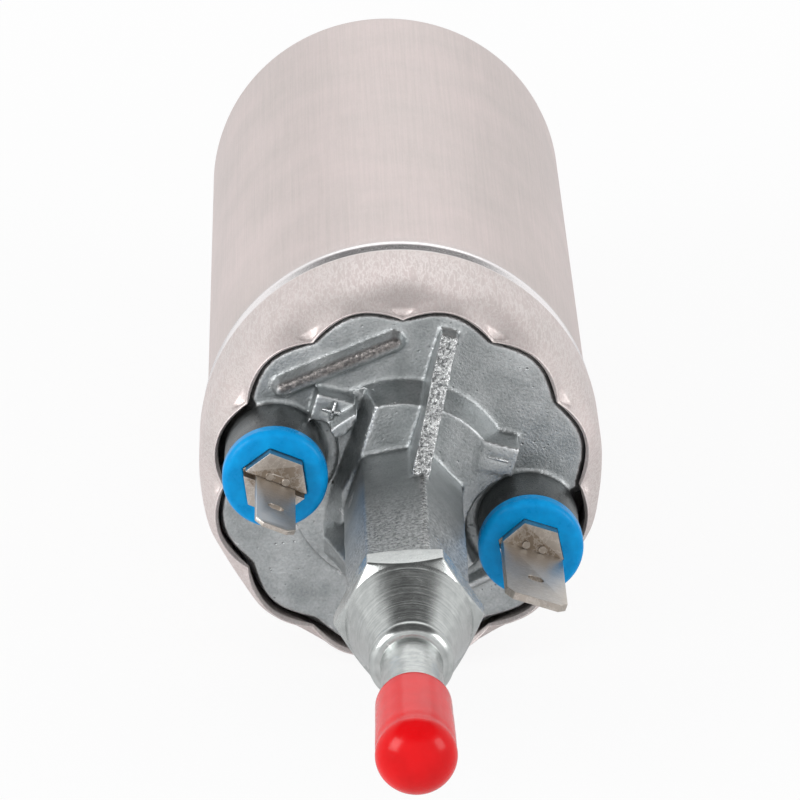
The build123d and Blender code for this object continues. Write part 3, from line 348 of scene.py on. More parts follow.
lip_y = -80.0
curl_length = 11.0
rim_valley = 27.2
rim_bulge = 29.25
lobe_count = 12
band_radius = 31.1
band_inner = 29.7
shoulder_y = -59.8
groove_y = -58.1
groove_radius = 30.15
bead_y = -56.2
bead_radius = 30.9
step_end_y = -52.6
cover_seat_y = -56.0
can_radius = 30.0
can_inner = 28.5
can_end_y = 58.0
can_floor_y = 56.0
neck_radius = 9.05
rim_wall = 0.9
rim_slant = 0.9
full_wall_y = -76.0
valley_sweep = 2.4
bulge_sweep = 2.9
least_depth = 0.001
cusp_run = 0.22
punch_depth = 0.95
punch_y = -78.8
punch_half_width = 1.5
punch_half_length = 0.34
ripple = 0.06
ripples_round = 9
ripples_per_mm = 0.22
outer_skin = 0.1
into_wall = 0.5
can_columns = 480
crimp_row = 0.25
band_row = 1.5
wall_row = 9.0
inside_row = 24.0
inside_crimp_row = 1.2
scuffed_from_y = -50.0
scuffed_run = 14.0
shoulder_highlight_reach = 0.67
planished_y = bead_y - 0.9
planished_half = 2.6
planished_edge = 1.2


def lobed(angles, station):
    """The outer radius of the crimped lip: arcs with cusps at the rim, soft waves above it."""
    share = np.clip((station - lip_y) / curl_length, 0, 1)
    valley = rim_valley + (band_radius - rim_valley) * (1 - (1 - share) ** valley_sweep)
    bulge = rim_bulge + (band_radius - rim_bulge) * (1 - (1 - share) ** bulge_sweep)
    pitch = 2 * math.pi / lobe_count
    turned_by = (angles % pitch) - pitch / 2
    wave = 0.5 + 0.5 * np.cos(turned_by * lobe_count)
    depth = np.maximum(bulge - valley, least_depth)
    centre = (bulge**2 - valley**2) / (2 * (bulge - valley * math.cos(pitch / 2)))
    arc = bulge - centre
    arcs = centre * np.cos(turned_by) + np.sqrt(arc**2 - (centre * np.sin(turned_by)) ** 2)
    arc_share = np.clip((arcs - valley) / depth, 0, 1)
    soft = np.clip(share / cusp_run, 0, 1)
    return valley + depth * (arc_share * (1 - soft) + wave * soft)


def can_reach(angles, radius, station):
    """The band narrows into the crimped lobes, with a punch mark in each valley."""
    pitch = 2 * math.pi / lobe_count
    reached = np.full(len(angles), radius)
    if station < shoulder_y:
        reached = radius - (band_radius - lobed(angles, np.full(len(angles), station)))
    if station < lip_y + curl_length and radius > band_radius - outer_skin:
        across = np.minimum(angles % pitch, pitch - angles % pitch) * rim_valley
        along = (station - punch_y) / punch_half_length
        reached = reached - punch_depth * np.exp(-((across / punch_half_width) ** 4) - along**2)
    crumpled = 1 - min(1.0, max(0.0, (station - lip_y) / (shoulder_y - lip_y)))
    if crumpled and radius > band_inner + into_wall:
        across_waves = [(math.cos(a) * ripples_round, math.sin(a) * ripples_round) for a in angles]
        rough = [noise.noise(Vector((*at, station * ripples_per_mm))) for at in across_waves]
        reached = reached + ripple * crumpled * np.array(rough)
    return reached


def can_spacing(start, end):
    """Close rows where the can is shaped, wide ones along its plain wall and inside it."""
    in_crimp = start.y < lip_y + curl_length
    if min(start.x, end.x) <= can_inner + into_wall and start.y <= can_floor_y + into_wall:
        return inside_crimp_row if in_crimp else inside_row
    return crimp_row if in_crimp else band_row if start.y < step_end_y else wall_row


can_corners = [
    (band_inner, full_wall_y, 0.5),
    (band_radius - rim_wall, lip_y + rim_slant, 0.2),
    (band_radius, lip_y, 0.4),
    (band_radius, shoulder_y, 0.8),
    (groove_radius, groove_y, 0.4),
    (bead_radius, bead_y, 0.7),
    (can_radius, step_end_y, 1.6),
    (can_radius, can_end_y, 4.0),
    (neck_radius, can_end_y, 0.3),
    (neck_radius, can_floor_y, 0.0),
    (can_inner, can_floor_y, 1.5),
    (can_inner, cover_seat_y, 0.0),
    (band_inner, cover_seat_y, 0.0),
]

can_finish = new_finish("can_aluminium_drawn")
grain = can_finish.speckle(can_finish.place(3.2, 0.035, 3.2), size=1.0, detail=4.0)
clouds = can_finish.speckle(can_finish.place(), size=16.0, detail=3.0)
fine = can_finish.speckle(can_finish.place(1.0, 0.5, 1.0), size=0.35, detail=2.0)
scuffs = can_finish.speckle(can_finish.place(1.5, 0.26, 1.5), size=1.0, detail=5.0, roughness=0.7)
station_along = can_finish.node("SeparateXYZ", {}, {0: can_finish.place()}, "Y")
worked = station_along.rise(scuffed_from_y, -scuffed_run)
scratch = scuffs.within(0.5, 0.05, 0.05) * (0.12 + 0.88 * worked)
shade = (0.50 + (grain - 0.5) * 0.7 + (clouds - 0.5) * 1.1).held()
can_colour = can_finish.ramp(shade, [(0.15, (0.59, 0.53, 0.51)), (0.85, (0.73, 0.635, 0.62))])
# Painted highlight: a pale ring along the shoulder's edge stands in for the light that edge
# catches.
painted_shoulder_highlight = station_along.within(shoulder_y, shoulder_highlight_reach, shoulder_highlight_reach)
planished = station_along.within(planished_y, planished_half, planished_edge)
can_colour = can_finish.blend(scratch * 0.5, can_colour, (0.86, 0.82, 0.80))
can_colour = can_finish.blend(painted_shoulder_highlight * 0.5, can_colour, (1.0, 0.96, 0.95))
can_colour = can_finish.blend(planished * 0.8, can_colour, (0.92, 0.90, 0.91))
can_height = grain * 0.35 + fine * 0.25 - scratch * 0.25 + clouds * 0.15
can_roughness = 0.50 + (fine - 0.5) * 0.16 + (clouds - 0.5) * 0.12
can_roughness = can_roughness - scratch * 0.14 - planished * 0.26
can_material = can_finish.surface(
    Base_Color=can_colour,
    Metallic=0.62 + planished * 0.36,
    Roughness=can_roughness.held(),
    Normal=can_finish.relief(can_height, 0.035, 0.8),
)
can_outline = rounded(can_corners, can_spacing)
can_points, can_faces = turned(can_outline, can_columns, can_reach)
can = make_piece("can_drawn", can_points, can_faces, "housing", can_material)
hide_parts("can_shell")


# End cover: a zinc pressure casting, blasted to a coarse grain, whose rim the crimp presses
# into the lobes. Its edges are soft from the die and rubbed bright by handling, and small
# pores are open in its faces. Its colour also holds painted light: painted shade in its
# hollows, round the bosses and down the column, a painted dark reflection along the raised
# bar, and painted glints on the coarse crest.
def flattened(piece, modifiers):
    """Apply modifiers, given as (type, settings), to a piece's mesh for good."""
    for kind, settings in modifiers:
        modifier = piece.modifiers.new(kind.lower(), kind)
        for name, value in settings.items():
            setattr(modifier, name, value)
    evaluated = piece.evaluated_get(bpy.context.evaluated_depsgraph_get())
    mesh = bpy.data.meshes.new_from_object(evaluated)
    piece.modifiers.clear()
    piece.data = mesh


weld_reach = 0.0005


def copied(node, name):
    """A welded copy of a CAD node's mesh in millimetres, with no stored normals."""
    solid = bmesh.new()
    solid.from_mesh(frame["nodes"][node].data)
    bmesh.ops.scale(solid, vec=(1 / mm, 1 / mm, 1 / mm), verts=solid.verts)
    bmesh.ops.remove_doubles(solid, verts=solid.verts, dist=weld_reach)
    mesh = bpy.data.meshes.new(name)
    solid.to_mesh(mesh)
    solid.free()
    if "custom_normal" in mesh.attributes:
        mesh.attributes.remove(mesh.attributes["custom_normal"])
    piece = bpy.data.objects.new(name, mesh)
    scene.collection.objects.link(piece)
    return piece


def settled(piece, body, slot, material, *nodes):
    """Bring a copied piece back to metres, give it its body and material, and hide the CAD nodes it
    stands for; the slot is not used.
    """
    piece.data.transform(Matrix.Scale(mm, 4))
    piece.data.materials.clear()
    piece.data.materials.append(material)
    piece.data.polygons.foreach_set("use_smooth", [True] * len(piece.data.polygons))
    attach(piece, body)
    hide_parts(*nodes)


cover_face_y = -79.0
pad_tilt = math.radians(-15)
plus_pad = (-10.6, 13.4, 3.4)
minus_pad = (14.4, 6.5, 5.8)
mark_length = 2.9
bevel_start_radius = 25.6
bevel_end_radius = 28.5
bevel_end_y = -71.0
fin_turn = math.radians(74.3)
fin_rim_radius = 26.3
fin_rim_y = -81.2
fin_slope = 16.0 / 18.3
column_rough_y = -97.0
crimp_gap = 0.12
sag = 0.7
terminal_places = ((19.37, -5.74), (-19.37, 5.74))
boss_radius = 7.7
boss_clear = 7.75
boss_blend = 0.4
column_foot_y = -86.0
base_top_y = -84.5
ramp_foot_y = -79.5
ramp_top = ((-15.2, -7.5), (-9.0, -9.0), (1.0, -9.3), (7.3, -6.3), (14.3, -4.3), (16.0, -4.0))
ramp_foot = ((-15.2, -8.2), (-11.1, -12.0), (-3.9, -11.9), (8.9, -7.6), (16.0, -5.6))
plus_pad_reach = 3.6
bar_start = Vector((-18.2, 16.35))
bar_end = Vector((-1.3, 23.7))
bar_width = 3.6
bar_sunk = 0.8
bar_height = 2.6
bar_taper = 0.62
mark_width = 0.5
mark_sunk = 0.3
mark_rise = 0.22
mark_taper = 0.3
ridge_profile = ((0.45, 0.35), (0.85, 0.7), (1.0, 1.0))
ridge_end_step = 20
rim_columns = 720
rim_inside_radius = 23.0
rim_overlap = 0.4
rim_stations = (cover_face_y, -78.4, -77.6, -76.8, -76.0)
cover_voxel = 0.33
cover_smoothing = 3
cover_kept = 0.34
swell_end_y = -70.0
swells = ((0.16, 0.10), (0.7, 0.04))
base_middle_z = 0.4
base_half_width = 15.6
base_radius = 17.6
base_margin = 0.5
crest_depth = 0.9
crest_half_width = 1.8
crest_start_radius = 8.8
column_rough_run = 14.0
column_foot_run = 4.0
bar_band_middle = 0.45
bar_band_half_width = 1.15
bar_band_from_height = 1.5
boss_skin = 0.4


def ridge(start, end, width, sunk, height, taper, name):
    """A straight ridge with rounded ends on the cover's face, from a depth below it upwards."""
    run = (end - start).normalized()
    side = Vector((-run.y, run.x))
    outline = []
    for middle, first in ((end, -90), (start, 90)):
        for turn in range(0, 181, ridge_end_step):
            angle = math.radians(first + turn)
            outline.append((middle, run * math.cos(angle) + side * math.sin(angle)))
    levels = [(-sunk, 0.0)] + [(height * up, narrowed) for up, narrowed in ridge_profile]
    points = []
    for rise, narrowed in levels:
        for middle, outwards in outline:
            at = middle + outwards * (width / 2 * (1 - taper * narrowed))
            points.append((at.x, cover_face_y - rise, at.y))
    count = len(outline)
    faces = [tuple(range(count)), tuple(range(len(points) - count, len(points)))]
    for level in range(len(levels) - 1):
        for i in range(count):
            j = (i + 1) % count
            low, high = level * count, (level + 1) * count
            faces.append((low + i, low + j, high + j, high + i))
    return mesh_of(name, points, faces)


def merged(piece, meshes):
    """Add the faces of more meshes to a piece."""
    solid = bmesh.new()
    solid.from_mesh(piece.data)
    for mesh in meshes:
        solid.from_mesh(mesh)
    solid.to_mesh(piece.data)
    solid.free()


def pressed_rim():
    """The casting's rim, pressed into the lobes but clear of the lowest ones and of the bosses."""
    turns = np.linspace(0, 2 * math.pi, rim_columns, endpoint=False)
    rows = []
    for station in rim_stations:
        down_bevel = (station - cover_face_y) / (bevel_end_y - cover_face_y)
        bevel = bevel_start_radius + (bevel_end_radius - bevel_start_radius) * down_bevel
        room_left = band_radius - band_inner + crimp_gap + sag * np.clip(-np.sin(turns), 0, 1)
        lobes = lobed(turns, np.full(rim_columns, station))
        spread = np.maximum(lobes - room_left - bevel, -rim_overlap)
        for x, z in terminal_places:
            from_boss = np.hypot(bevel * np.cos(turns) - x, bevel * np.sin(turns) - z)
            spread *= np.clip((from_boss - boss_clear) / boss_blend, 0, 1)
        rows.append((bevel + spread, station))
    rows.append((np.full(rim_columns, rim_inside_radius), rim_stations[-1]))
    rows.append((np.full(rim_columns, rim_inside_radius), rim_stations[0]))
    points, faces = [], []
    for radii, station in rows:
        points += [(r * math.cos(a), station, r * math.sin(a)) for r, a in zip(radii, turns)]
    for row in range(len(rows)):
        here, beyond = row * rim_columns, (row + 1) % len(rows) * rim_columns
        for i in range(rim_columns):
            j = (i + 1) % rim_columns
            faces.append((here + i, here + j, beyond + j, beyond + i))
    return mesh_of("pressed_rim", points, faces)


cover = copied("end_cover", "cover_casting")
bar = ridge(bar_start, bar_end, bar_width, bar_sunk, bar_height, bar_taper, "raised_bar")
merged(cover, [pressed_rim(), bar])
flattened(
    cover,
    [
        ("REMESH", {"mode": "VOXEL", "voxel_size": cover_voxel}),
        ("SMOOTH", {"factor": 0.5, "iterations": cover_smoothing}),
    ],
)
places = np.empty(len(cover.data.vertices) * 3)
cover.data.vertices.foreach_get("co", places)
places = places.reshape(-1, 3)
normals = np.array([normal.vector for normal in cover.data.vertex_normals])
swell = np.zeros(len(places))
for waves_per_mm, wave_height in swells:
    waves = [noise.noise(place * waves_per_mm) for place in (Vector(at) for at in places)]
    swell += np.array(waves) * wave_height
swell[places[:, 1] >= swell_end_y] = 0.0
moved = places + normals * swell[:, None]

# On the left the raised base falls away from the column in a ramp.
top_x = np.interp(places[:, 2], *zip(*ramp_top))
foot_x = np.interp(places[:, 2], *zip(*ramp_foot))
down = np.clip((top_x - places[:, 0]) / (top_x - foot_x), 0, 1)
ramp_y = base_top_y + (ramp_foot_y - base_top_y) * down
on_base = (places[:, 0] < top_x) & (np.abs(places[:, 2] - base_middle_z) < base_half_width)
on_base &= np.hypot(places[:, 0], places[:, 2]) < base_radius
on_base &= (places[:, 1] > base_top_y - base_margin) & (places[:, 1] < cover_face_y)
on_base &= np.hypot(places[:, 0] - plus_pad[0], places[:, 2] - plus_pad[1]) > plus_pad_reach
moved[:, 1] = np.where(on_base, np.maximum(moved[:, 1], ramp_y), moved[:, 1])
cover.data.vertices.foreach_set("co", moved.ravel())
cover.data.update()
flattened(cover, [("DECIMATE", {"ratio": cover_kept})])


def stroke(pad, turn):
    """One raised stroke of the plus or minus mark, on a pad given as (x, z, height)."""
    x, z, pad_height = pad
    reach = Vector((mark_length / 2, 0))
    reach.rotate(Matrix.Rotation(pad_tilt + math.radians(turn), 2))
    middle = Vector((x, z))
    sunk = mark_sunk - pad_height
    height = pad_height + mark_rise
    return ridge(middle - reach, middle + reach, mark_width, sunk, height, mark_taper, "mark")


merged(cover, [stroke(plus_pad, 0), stroke(plus_pad, 90), stroke(minus_pad, 0)])

zinc = new_finish("zinc_pressure_casting")
grit = zinc.speckle(zinc.place(), size=0.42, detail=4.0, roughness=0.62)
cloudy = zinc.speckle(zinc.place(), size=5.0, detail=4.0, roughness=0.6)
pit_size = zinc.node("TexVoronoi", {}, {"Vector": zinc.place(), "Scale": 0.85}, "Distance")
pores = pit_size.rise(0.18, -0.18) * cloudy.rise(0.39, 0.31)
sharp = zinc.node("NewGeometry", {}, {}, "Pointiness")
rubbed = sharp.rise(0.515, 0.071) * (0.35 + 0.65 * grit)
painted_hollow_shade = sharp.rise(0.49, -0.11)
zinc_shade = (0.5 + (cloudy - 0.5) * 1.1 + (grit - 0.5) * 0.8).held()
zinc_colour = zinc.ramp(zinc_shade, [(0.1, (0.24, 0.26, 0.265)), (0.9, (0.62, 0.64, 0.645))])
crystals = zinc.speckle(zinc.place(), size=0.55, detail=4.0, roughness=0.75)
zinc_place = zinc.node("SeparateXYZ", {}, {0: zinc.place()})
x_cast, y_cast, z_cast = (zinc_place.output(axis) for axis in "XYZ")
fin_out = x_cast * math.cos(fin_turn) + z_cast * math.sin(fin_turn)
fin_across = z_cast * math.cos(fin_turn) - x_cast * math.sin(fin_turn)
fin_depth = y_cast - (fin_rim_y - (fin_rim_radius - fin_out) * fin_slope)
on_crest = fin_depth.rise(crest_depth, -0.4) * fin_across.within(0.0, crest_half_width, 0.25)
on_crest = on_crest * fin_out.rise(crest_start_radius, 0.33) * fin_out.rise(fin_rim_radius, -0.33)
on_column = y_cast.rise(column_rough_y, -column_rough_run)
bar_run = (bar_end - bar_start).normalized()
along_bar = (x_cast - bar_start.x) * bar_run.x + (z_cast - bar_start.y) * bar_run.y
across_bar = (z_cast - bar_start.y) * bar_run.x - (x_cast - bar_start.x) * bar_run.y
on_bar = across_bar.within(bar_band_middle, bar_band_half_width, 0.77)
on_bar = on_bar * y_cast.rise(cover_face_y - bar_band_from_height, -0.63) * along_bar.rise(-0.8, 0.67)
# Painted shade: the walls round the terminal bosses, and the column from its foot outwards, are
# darkened as if in shadow.
boss_wall_shade = 0.0
for x, z in terminal_places:
    from_boss = ((x_cast - x) ** 2 + (z_cast - z) ** 2) ** 0.5
    boss_wall_shade += from_boss.within(boss_radius, boss_skin, boss_skin)
boss_wall_shade = boss_wall_shade * y_cast.rise(cover_face_y - 0.2, -0.33)
column_shade = y_cast.rise(column_foot_y, -column_foot_run)
painted_shade = (boss_wall_shade * 0.75 + column_shade * 0.28).held()
coarse = (on_crest + on_column * 0.6 + rubbed * 0.4).held()
# On the coarse crest and column the grain is the casting's own, and its near-white specks are
# painted glints.
grain_and_painted_glints = zinc.ramp(crystals, [(0.40, (0.08, 0.085, 0.09)), (0.60, (0.96, 0.97, 0.97))])
zinc_colour = zinc.blend(painted_shade, zinc_colour, (0.10, 0.11, 0.115))
zinc_colour = zinc.blend(coarse * 0.75, zinc_colour, grain_and_painted_glints)
zinc_colour = zinc.blend(rubbed * (1 - coarse * 0.6), zinc_colour, (0.86, 0.87, 0.88))
# Painted dark reflection: a dark brownish band along the raised bar's crest stands in for the dark
# band in its sheen.
painted_bar_sheen = zinc.ramp(crystals, [(0.42, (0.045, 0.032, 0.028)), (0.68, (0.36, 0.32, 0.30))])
zinc_colour = zinc.blend(on_bar * 0.8, zinc_colour, painted_bar_sheen)
# Painted shade darkens the casting's hollows; the pores are dark pits of the casting itself.
zinc_colour = zinc.blend((painted_hollow_shade * 0.55 + pores * 0.85).held(), zinc_colour, (0.06, 0.065, 0.068))
zinc_roughness = 0.36 + (grit - 0.5) * 0.3 - coarse * 0.08 - rubbed * 0.08 + pores * 0.3
zinc_material = zinc.surface(
    Base_Color=zinc_colour,
    Metallic=0.95,
    Roughness=zinc_roughness.held(),
    Normal=zinc.relief(grit * (0.6 - coarse * 0.4) + crystals * coarse - pores, 0.2),
)
settled(cover, "housing", "zinc_casting", zinc_material, "end_cover")


# Terminals: blue moulded insulators on the bosses, nickel-plated studs with a slotted
# hexagonal head, and a blade staked in each slot: a 6.3 mm tab for plus, 9.5 mm for minus.
flat_within = math.radians(1.0)
sharp_from = math.radians(28.0)


def eased(node, name, body, slot, material, edge):
    """A copy of a CAD node whose sharp edges are rounded off, standing for that node."""
    piece = copied(node, name)
    solid = bmesh.new()
    solid.from_mesh(piece.data)
    bmesh.ops.dissolve_limit(solid, angle_limit=flat_within, verts=solid.verts, edges=solid.edges)
    solid.to_mesh(piece.data)
    solid.free()
    settings = {"width": edge, "segments": 2, "limit_method": "ANGLE", "angle_limit": sharp_from}
    flattened(piece, [("BEVEL", settings)])
    piece.data.polygons.foreach_set("use_smooth", [True] * len(piece.data.polygons))
    flattened(piece, [("WEIGHTED_NORMAL", {"keep_sharp": True})])
    settled(piece, body, slot, material, node)
    return piece


blue = new_finish("blue_moulded_plastic")
haze = blue.speckle(blue.place(), size=2.4, detail=4.0)
orange_peel = blue.speckle(blue.place(), size=0.3, detail=2.0)
blue_colour = blue.ramp(haze, [(0.3, (0.0, 0.25, 0.60)), (0.7, (0.001, 0.34, 0.76))])
blue_material = blue.surface(
    Base_Color=blue_colour,
    Specular_IOR_Level=0.15,
    Roughness=(0.30 + (haze - 0.5) * 0.25).held(),
    Normal=blue.relief(orange_peel, 0.012),
)
nickel = new_finish("nickel_plate_worn")
wiped = nickel.speckle(nickel.place(0.5, 3.0, 0.5), size=0.9, detail=4.0, roughness=0.65)
dull = nickel.speckle(nickel.place(), size=3.0, detail=3.0)
line = wiped.within(0.5, 0.045, 0.045)
nickel_colour = nickel.ramp(dull, [(0.25, (0.20, 0.16, 0.125)), (0.75, (0.38, 0.32, 0.26))])
nickel_colour = nickel.blend(line * 0.4, nickel_colour, (0.72, 0.68, 0.63))
worn_edge = nickel.node("NewGeometry", {}, {}, "Pointiness")
nickel_colour = nickel.blend(worn_edge.rise(0.52, 0.1), nickel_colour, (0.85, 0.82, 0.78))
nickel_material = nickel.surface(
    Base_Color=nickel_colour,
    Metallic=1.0,
    Roughness=(0.40 + (wiped - 0.5) * 0.30 + (dull - 0.5) * 0.2).held(),
    Normal=nickel.relief(wiped, 0.03),
)
moulded = ("housing", "blue_plastic", blue_material, 0.3)
forged = ("housing", "nickel_plate", nickel_material, 0.22)
stamped = ("housing", "nickel_plate", nickel_material, 0.16)
for sign in ("plus", "minus"):
    eased("insulator_" + sign, "insulator_bush_" + sign, *moulded)
    eased("terminal_stud_" + sign, "stud_head_" + sign, *forged)
    eased("blade_" + sign, "tab_" + sign, *stamped)


# Outlet fitting: turned from hexagon bar steel and bright zinc plated. A cone cuts the hexagon
# away in arched facets and ends in a rounded collar; the tube beyond it takes the fuel hose.
hexagon_y = -125.0
cone_y = -130.2
collar_y = -141.6
collar_length = 3.2
collar_radius = 6.2
tube_radius = 4.45
tube_lead_radius = 4.2
cap_mouth_y = -158.2
tube_end_y = -170.6
shank_radius = 5.95
shank_end_y = -114.0
chamber_end_y = -137.0
chamber_radius = 4.3
bore_radius = 3.0
cone_start_radius = 9.35
cone_end_radius = 5.5
hexagon_flat = 9.5
hexagon_turn = math.radians(4.0)
hexagon_ease = 0.12
turned_from_y = -131.0
fitting_columns = 360
close_row = 0.24
wide_row = 1.6
beyond_corner = 0.3
face_margin = 0.01
cone_margin = 0.2
close_margin = 0.1
end_chamfer = 1.5
collar_steps = 18
cap_overlap = 0.8
chamfer_angle = math.radians(30)
corner_radius = hexagon_flat / math.cos(math.pi / 6)


def fitting_reach(angles, radius, station):
    """Outside the collar and the shank, the skin is where the hexagon and the cone meet."""
    on_bar_steel = collar_y < station < hexagon_y + face_margin
    if not (on_bar_steel and radius > cone_end_radius - cone_margin):
        return np.full(len(angles), radius)
    sixth = math.pi / 3
    turned_by = ((angles - hexagon_turn) % sixth) - sixth / 2
    hexagon = hexagon_flat / np.cos(turned_by)
    spread = hexagon - radius
    return (hexagon + radius) / 2 - np.sqrt(spread**2 + hexagon_ease**2) / 2


chamfer_run = (corner_radius - cone_start_radius) * math.tan(chamfer_angle)
collar_round = [
    (
        collar_radius - collar_length / 2 + collar_length / 2 * math.sin(turn),
        collar_y - collar_length / 2 + collar_length / 2 * math.cos(turn),
        0,
    )
    for turn in np.linspace(0, math.pi, collar_steps)
]
fitting_corners = [
    (shank_radius, shank_end_y, 0.3),
    (shank_radius, hexagon_y, 0),
    (cone_start_radius, hexagon_y, 0),
    (corner_radius + beyond_corner, hexagon_y - chamfer_run, 0.2),
    (corner_radius + beyond_corner, cone_y + end_chamfer, 0.2),
    (cone_start_radius, cone_y, 0.2),
    (cone_end_radius, collar_y, 0),
    *collar_round,
    (tube_radius, collar_y - collar_length, 0.25),
    (tube_radius, cap_mouth_y + cap_overlap, 0.1),
    (tube_lead_radius, cap_mouth_y + cap_overlap, 0.1),
    (tube_lead_radius, tube_end_y, 0.6),
    (bore_radius, tube_end_y, 0.25),
    (bore_radius, chamber_end_y, 0),
    (chamber_radius, chamber_end_y, 0),
    (chamber_radius, shank_end_y, 0.2),
]


def fitting_spacing(start, end):
    """Close rows on the hexagon and the cone, wide ones on the tube and in the bore."""
    outside = min(start.x, end.x) > cone_end_radius - close_margin
    return close_row if outside and start.y < hexagon_y + close_margin else wide_row


plated = new_finish("bright_zinc_plate")
plated_place = plated.node("SeparateXYZ", {}, {0: plated.place()})
x_place, y_place, z_place = (plated_place.output(axis) for axis in "XYZ")
from_axis = (x_place * x_place + z_place * z_place) ** 0.5
along_skin = from_axis * 0.9 - y_place
swirl = plated.node("CombineXYZ", {}, {0: along_skin * 3.4, 1: 0.0, 2: 0.0})
tool_marks = plated.speckle(swirl, size=1.0, detail=5.0, roughness=0.7)
mottled = plated.speckle(plated.place(), size=1.8, detail=5.0, roughness=0.65)
on_hexagon = y_place.rise(turned_from_y, 0.25)
turned_share = (1 - on_hexagon) * 0.85 + 0.15
plated_shade = (0.5 + (tool_marks - 0.5) * turned_share * 1.1 + (mottled - 0.5) * 0.8).held()
plated_colour = plated.ramp(plated_shade, [(0.1, (0.28, 0.30, 0.295)), (0.9, (0.70, 0.72, 0.71))])
edge = plated.node("NewGeometry", {}, {}, "Pointiness")
plated_colour = plated.blend(edge.rise(0.52, 0.125), plated_colour, (0.93, 0.93, 0.92))
plated_roughness = 0.20 + (mottled - 0.5) * 0.22 + (tool_marks - 0.5) * 0.10 + on_hexagon * 0.06
plated_material = plated.surface(
    Base_Color=plated_colour,
    Metallic=1.0,
    Roughness=plated_roughness.held(),
    Normal=plated.relief(tool_marks * turned_share + mottled * 0.2, 0.05),
)
fitting_outline = rounded(fitting_corners, fitting_spacing)
fitting_points, fitting_faces = turned(fitting_outline, fitting_columns, fitting_reach)
fitting = make_piece(
    "fitting_turned", fitting_points, fitting_faces, "housing", plated_material
)
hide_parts("outlet_fitting")


# Shipping cap: soft red vinyl, dipped and stripped from its former, so its wall is glossy,
# a little uneven, and drawn in slightly above the round end.
cap_mouth_radius = 5.4
cap_side_radius = 5.72
cap_dome_y = -173.6
cap_dome = 4.4
cap_wall = 0.9
cap_ripple = 0.035
cap_neck_depth = 0.10
cap_neck_share = 0.07
cap_neck_run = 0.05
cap_columns = 128
cap_outside_rows = 26
cap_inside_rows = 12
cap_mouth_steps = 7
cap_mouth_rounding = 0.2
cap_wave_size = 1.3
cap_waves_along = 0.25


def cap_half(inset, count):
    """The cap's outline from its tip to its mouth, drawn inwards by the wall."""
    dome = [
        (
            (cap_side_radius - inset) * math.sin(turn),
            cap_dome_y - (cap_dome - inset) * math.cos(turn),
        )
        for turn in np.linspace(0, math.pi / 2, count)
    ]
    side = [
        (
            cap_side_radius - inset + (cap_mouth_radius - cap_side_radius) * share
            - cap_neck_depth * math.exp(-(((share - cap_neck_share) / cap_neck_run) ** 2)),
            cap_dome_y + (cap_mouth_y - cap_dome_y) * share,
        )
        for share in np.linspace(0, 1, count)[1:]
    ]
    return dome + side


def cap_reach(angles, radius, station):
    """The dipped wall is not quite round."""
    along = station * cap_waves_along
    places_round = [Vector((math.cos(a), math.sin(a), along)) for a in angles]
    waves = [noise.noise(place * cap_wave_size) for place in places_round]
    return radius + cap_ripple * np.array(waves)


mouth_round = [
    (
        cap_mouth_radius - cap_wall / 2 + cap_wall / 2 * math.cos(turn),
        cap_mouth_y + cap_mouth_rounding * math.sin(turn),
    )
    for turn in np.linspace(0, math.pi, cap_mouth_steps)[1:-1]
]
cap_inside = cap_half(cap_wall, cap_inside_rows)[::-1]
cap_outline = cap_half(0, cap_outside_rows) + mouth_round + cap_inside
cap_outline[0] = (0, cap_outline[0][1])
cap_outline[-1] = (0, cap_outline[-1][1])
vinyl = new_finish("red_dipped_vinyl")
thick = vinyl.speckle(vinyl.place(), size=5.0, detail=3.0)
skin = vinyl.speckle(vinyl.place(), size=0.7, detail=3.0)
vinyl_colour = vinyl.ramp(thick, [(0.3, (0.66, 0.001, 0.003)), (0.7, (0.78, 0.004, 0.007))])
vinyl_material = vinyl.surface(
    Base_Color=vinyl_colour,
    Specular_IOR_Level=0.22,
    Roughness=(0.20 + (skin - 0.5) * 0.14 + (thick - 0.5) * 0.10).held(),
    Normal=vinyl.relief(thick * 0.7 + skin * 0.3, 0.05),
)
cap_points, cap_faces = turned(cap_outline, cap_columns, cap_reach)
cap = make_piece("cap_dipped", cap_points, cap_faces, "outlet_cap", vinyl_material)
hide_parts("outlet_cap")


# Inlet nipple: a turned steel spigot, zinc plated as the outlet is, held by its flange inside
# the can's end wall.
flange_start_y = 53.0
flange_end_y = 55.0
flange_radius = 12.5
nipple_foot_radius = 9.0
nipple_foot_y = 60.0
spigot_radius = 7.5
spigot_lead_y = 79.5
spigot_end_y = 82.0
spigot_end_radius = 6.6
nipple_bore_radius = 5.5
nipple_columns = 160
nipple_row = 1.2
nipple_corners = [
    (flange_radius, flange_start_y, 0.3),
    (flange_radius, flange_end_y, 0.3),
    (nipple_foot_radius, flange_end_y, 0),
    (nipple_foot_radius, nipple_foot_y, 0.5),
    (spigot_radius, nipple_foot_y, 0.3),
    (spigot_radius, spigot_lead_y, 0.8),
    (spigot_end_radius, spigot_end_y, 0.4),
    (nipple_bore_radius, spigot_end_y, 0.3),
    (nipple_bore_radius, flange_start_y, 0.2),
]
nipple_outline = rounded(nipple_corners, lambda start, end: nipple_row)
nipple_points, nipple_faces = turned(nipple_outline, nipple_columns)
nipple = make_piece(
    "nipple_turned", nipple_points, nipple_faces, "housing", plated_material
)
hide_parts("inlet_nipple")


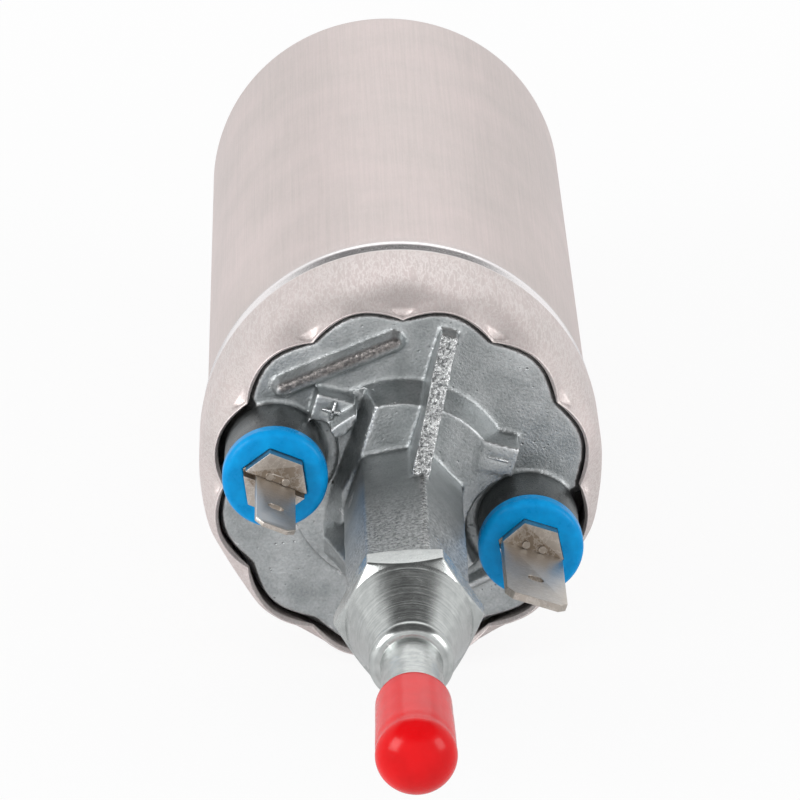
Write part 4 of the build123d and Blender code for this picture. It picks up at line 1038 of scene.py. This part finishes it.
# Pieces inside the can, each in its own finish: the motor, the pump stage, the valves, the
# seals and the leads. They keep their CAD shapes.
def worn_metal(name, dark, light, roughness, grain_size, depth, metallic=1.0):
    """A metal whose tint, gloss and surface vary in patches of a grain size."""
    metal = new_finish(name)
    patch = metal.speckle(metal.place(), grain_size * 6, 3.0)
    tooth = metal.speckle(metal.place(), grain_size, 4.0)
    mixed = ((patch + tooth) * 0.5).held()
    return metal.surface(
        Base_Color=metal.ramp(mixed, [(0.3, dark), (0.7, light)]),
        Metallic=metallic,
        Roughness=(roughness + (patch - 0.5) * 0.2 + (tooth - 0.5) * 0.15).held(),
        Normal=metal.relief(tooth, depth),
    )


inner_finishes = {
    "black_rubber": ((0.012, 0.012, 0.013), (0.035, 0.035, 0.036), 0.62, 0.3, 0.02, 0.0),
    "machined_steel": ((0.36, 0.37, 0.38), (0.62, 0.63, 0.64), 0.26, 0.4, 0.01, 1.0),
    "spring_steel": ((0.30, 0.30, 0.31), (0.56, 0.56, 0.56), 0.30, 0.3, 0.01, 1.0),
    "brass": ((0.55, 0.38, 0.13), (0.80, 0.60, 0.26), 0.28, 0.4, 0.01, 1.0),
    "bronze_bush": ((0.34, 0.20, 0.09), (0.56, 0.36, 0.18), 0.45, 0.25, 0.03, 1.0),
    "copper": ((0.48, 0.19, 0.09), (0.82, 0.40, 0.23), 0.28, 0.5, 0.02, 1.0),
    "carbon": ((0.015, 0.015, 0.016), (0.06, 0.06, 0.06), 0.55, 0.2, 0.03, 0.0),
    "phenolic": ((0.03, 0.018, 0.010), (0.085, 0.05, 0.028), 0.42, 0.5, 0.02, 0.0),
    "ferrite": ((0.035, 0.035, 0.038), (0.085, 0.085, 0.09), 0.6, 0.3, 0.03, 0.0),
    "plate_aluminium": ((0.52, 0.52, 0.53), (0.76, 0.76, 0.76), 0.34, 0.6, 0.02, 1.0),
    "filter_nylon": ((0.62, 0.60, 0.52), (0.82, 0.80, 0.72), 0.5, 0.4, 0.03, 0.0),
}
finishes = {name: worn_metal(name + "_grained", *values) for name, values in inner_finishes.items()}
finishes["can_aluminium"] = can_material
finishes["zinc_casting"] = zinc_material
finishes["plated_steel"] = plated_material
finishes["nickel_plate"] = nickel_material
finishes["blue_plastic"] = blue_material
finishes["red_vinyl"] = vinyl_material
for part in frame["record"]["subparts"]:
    node = frame["nodes"][part["node"]]
    node.data.materials.clear()
    node.data.materials.append(finishes[part["material_slot"]])
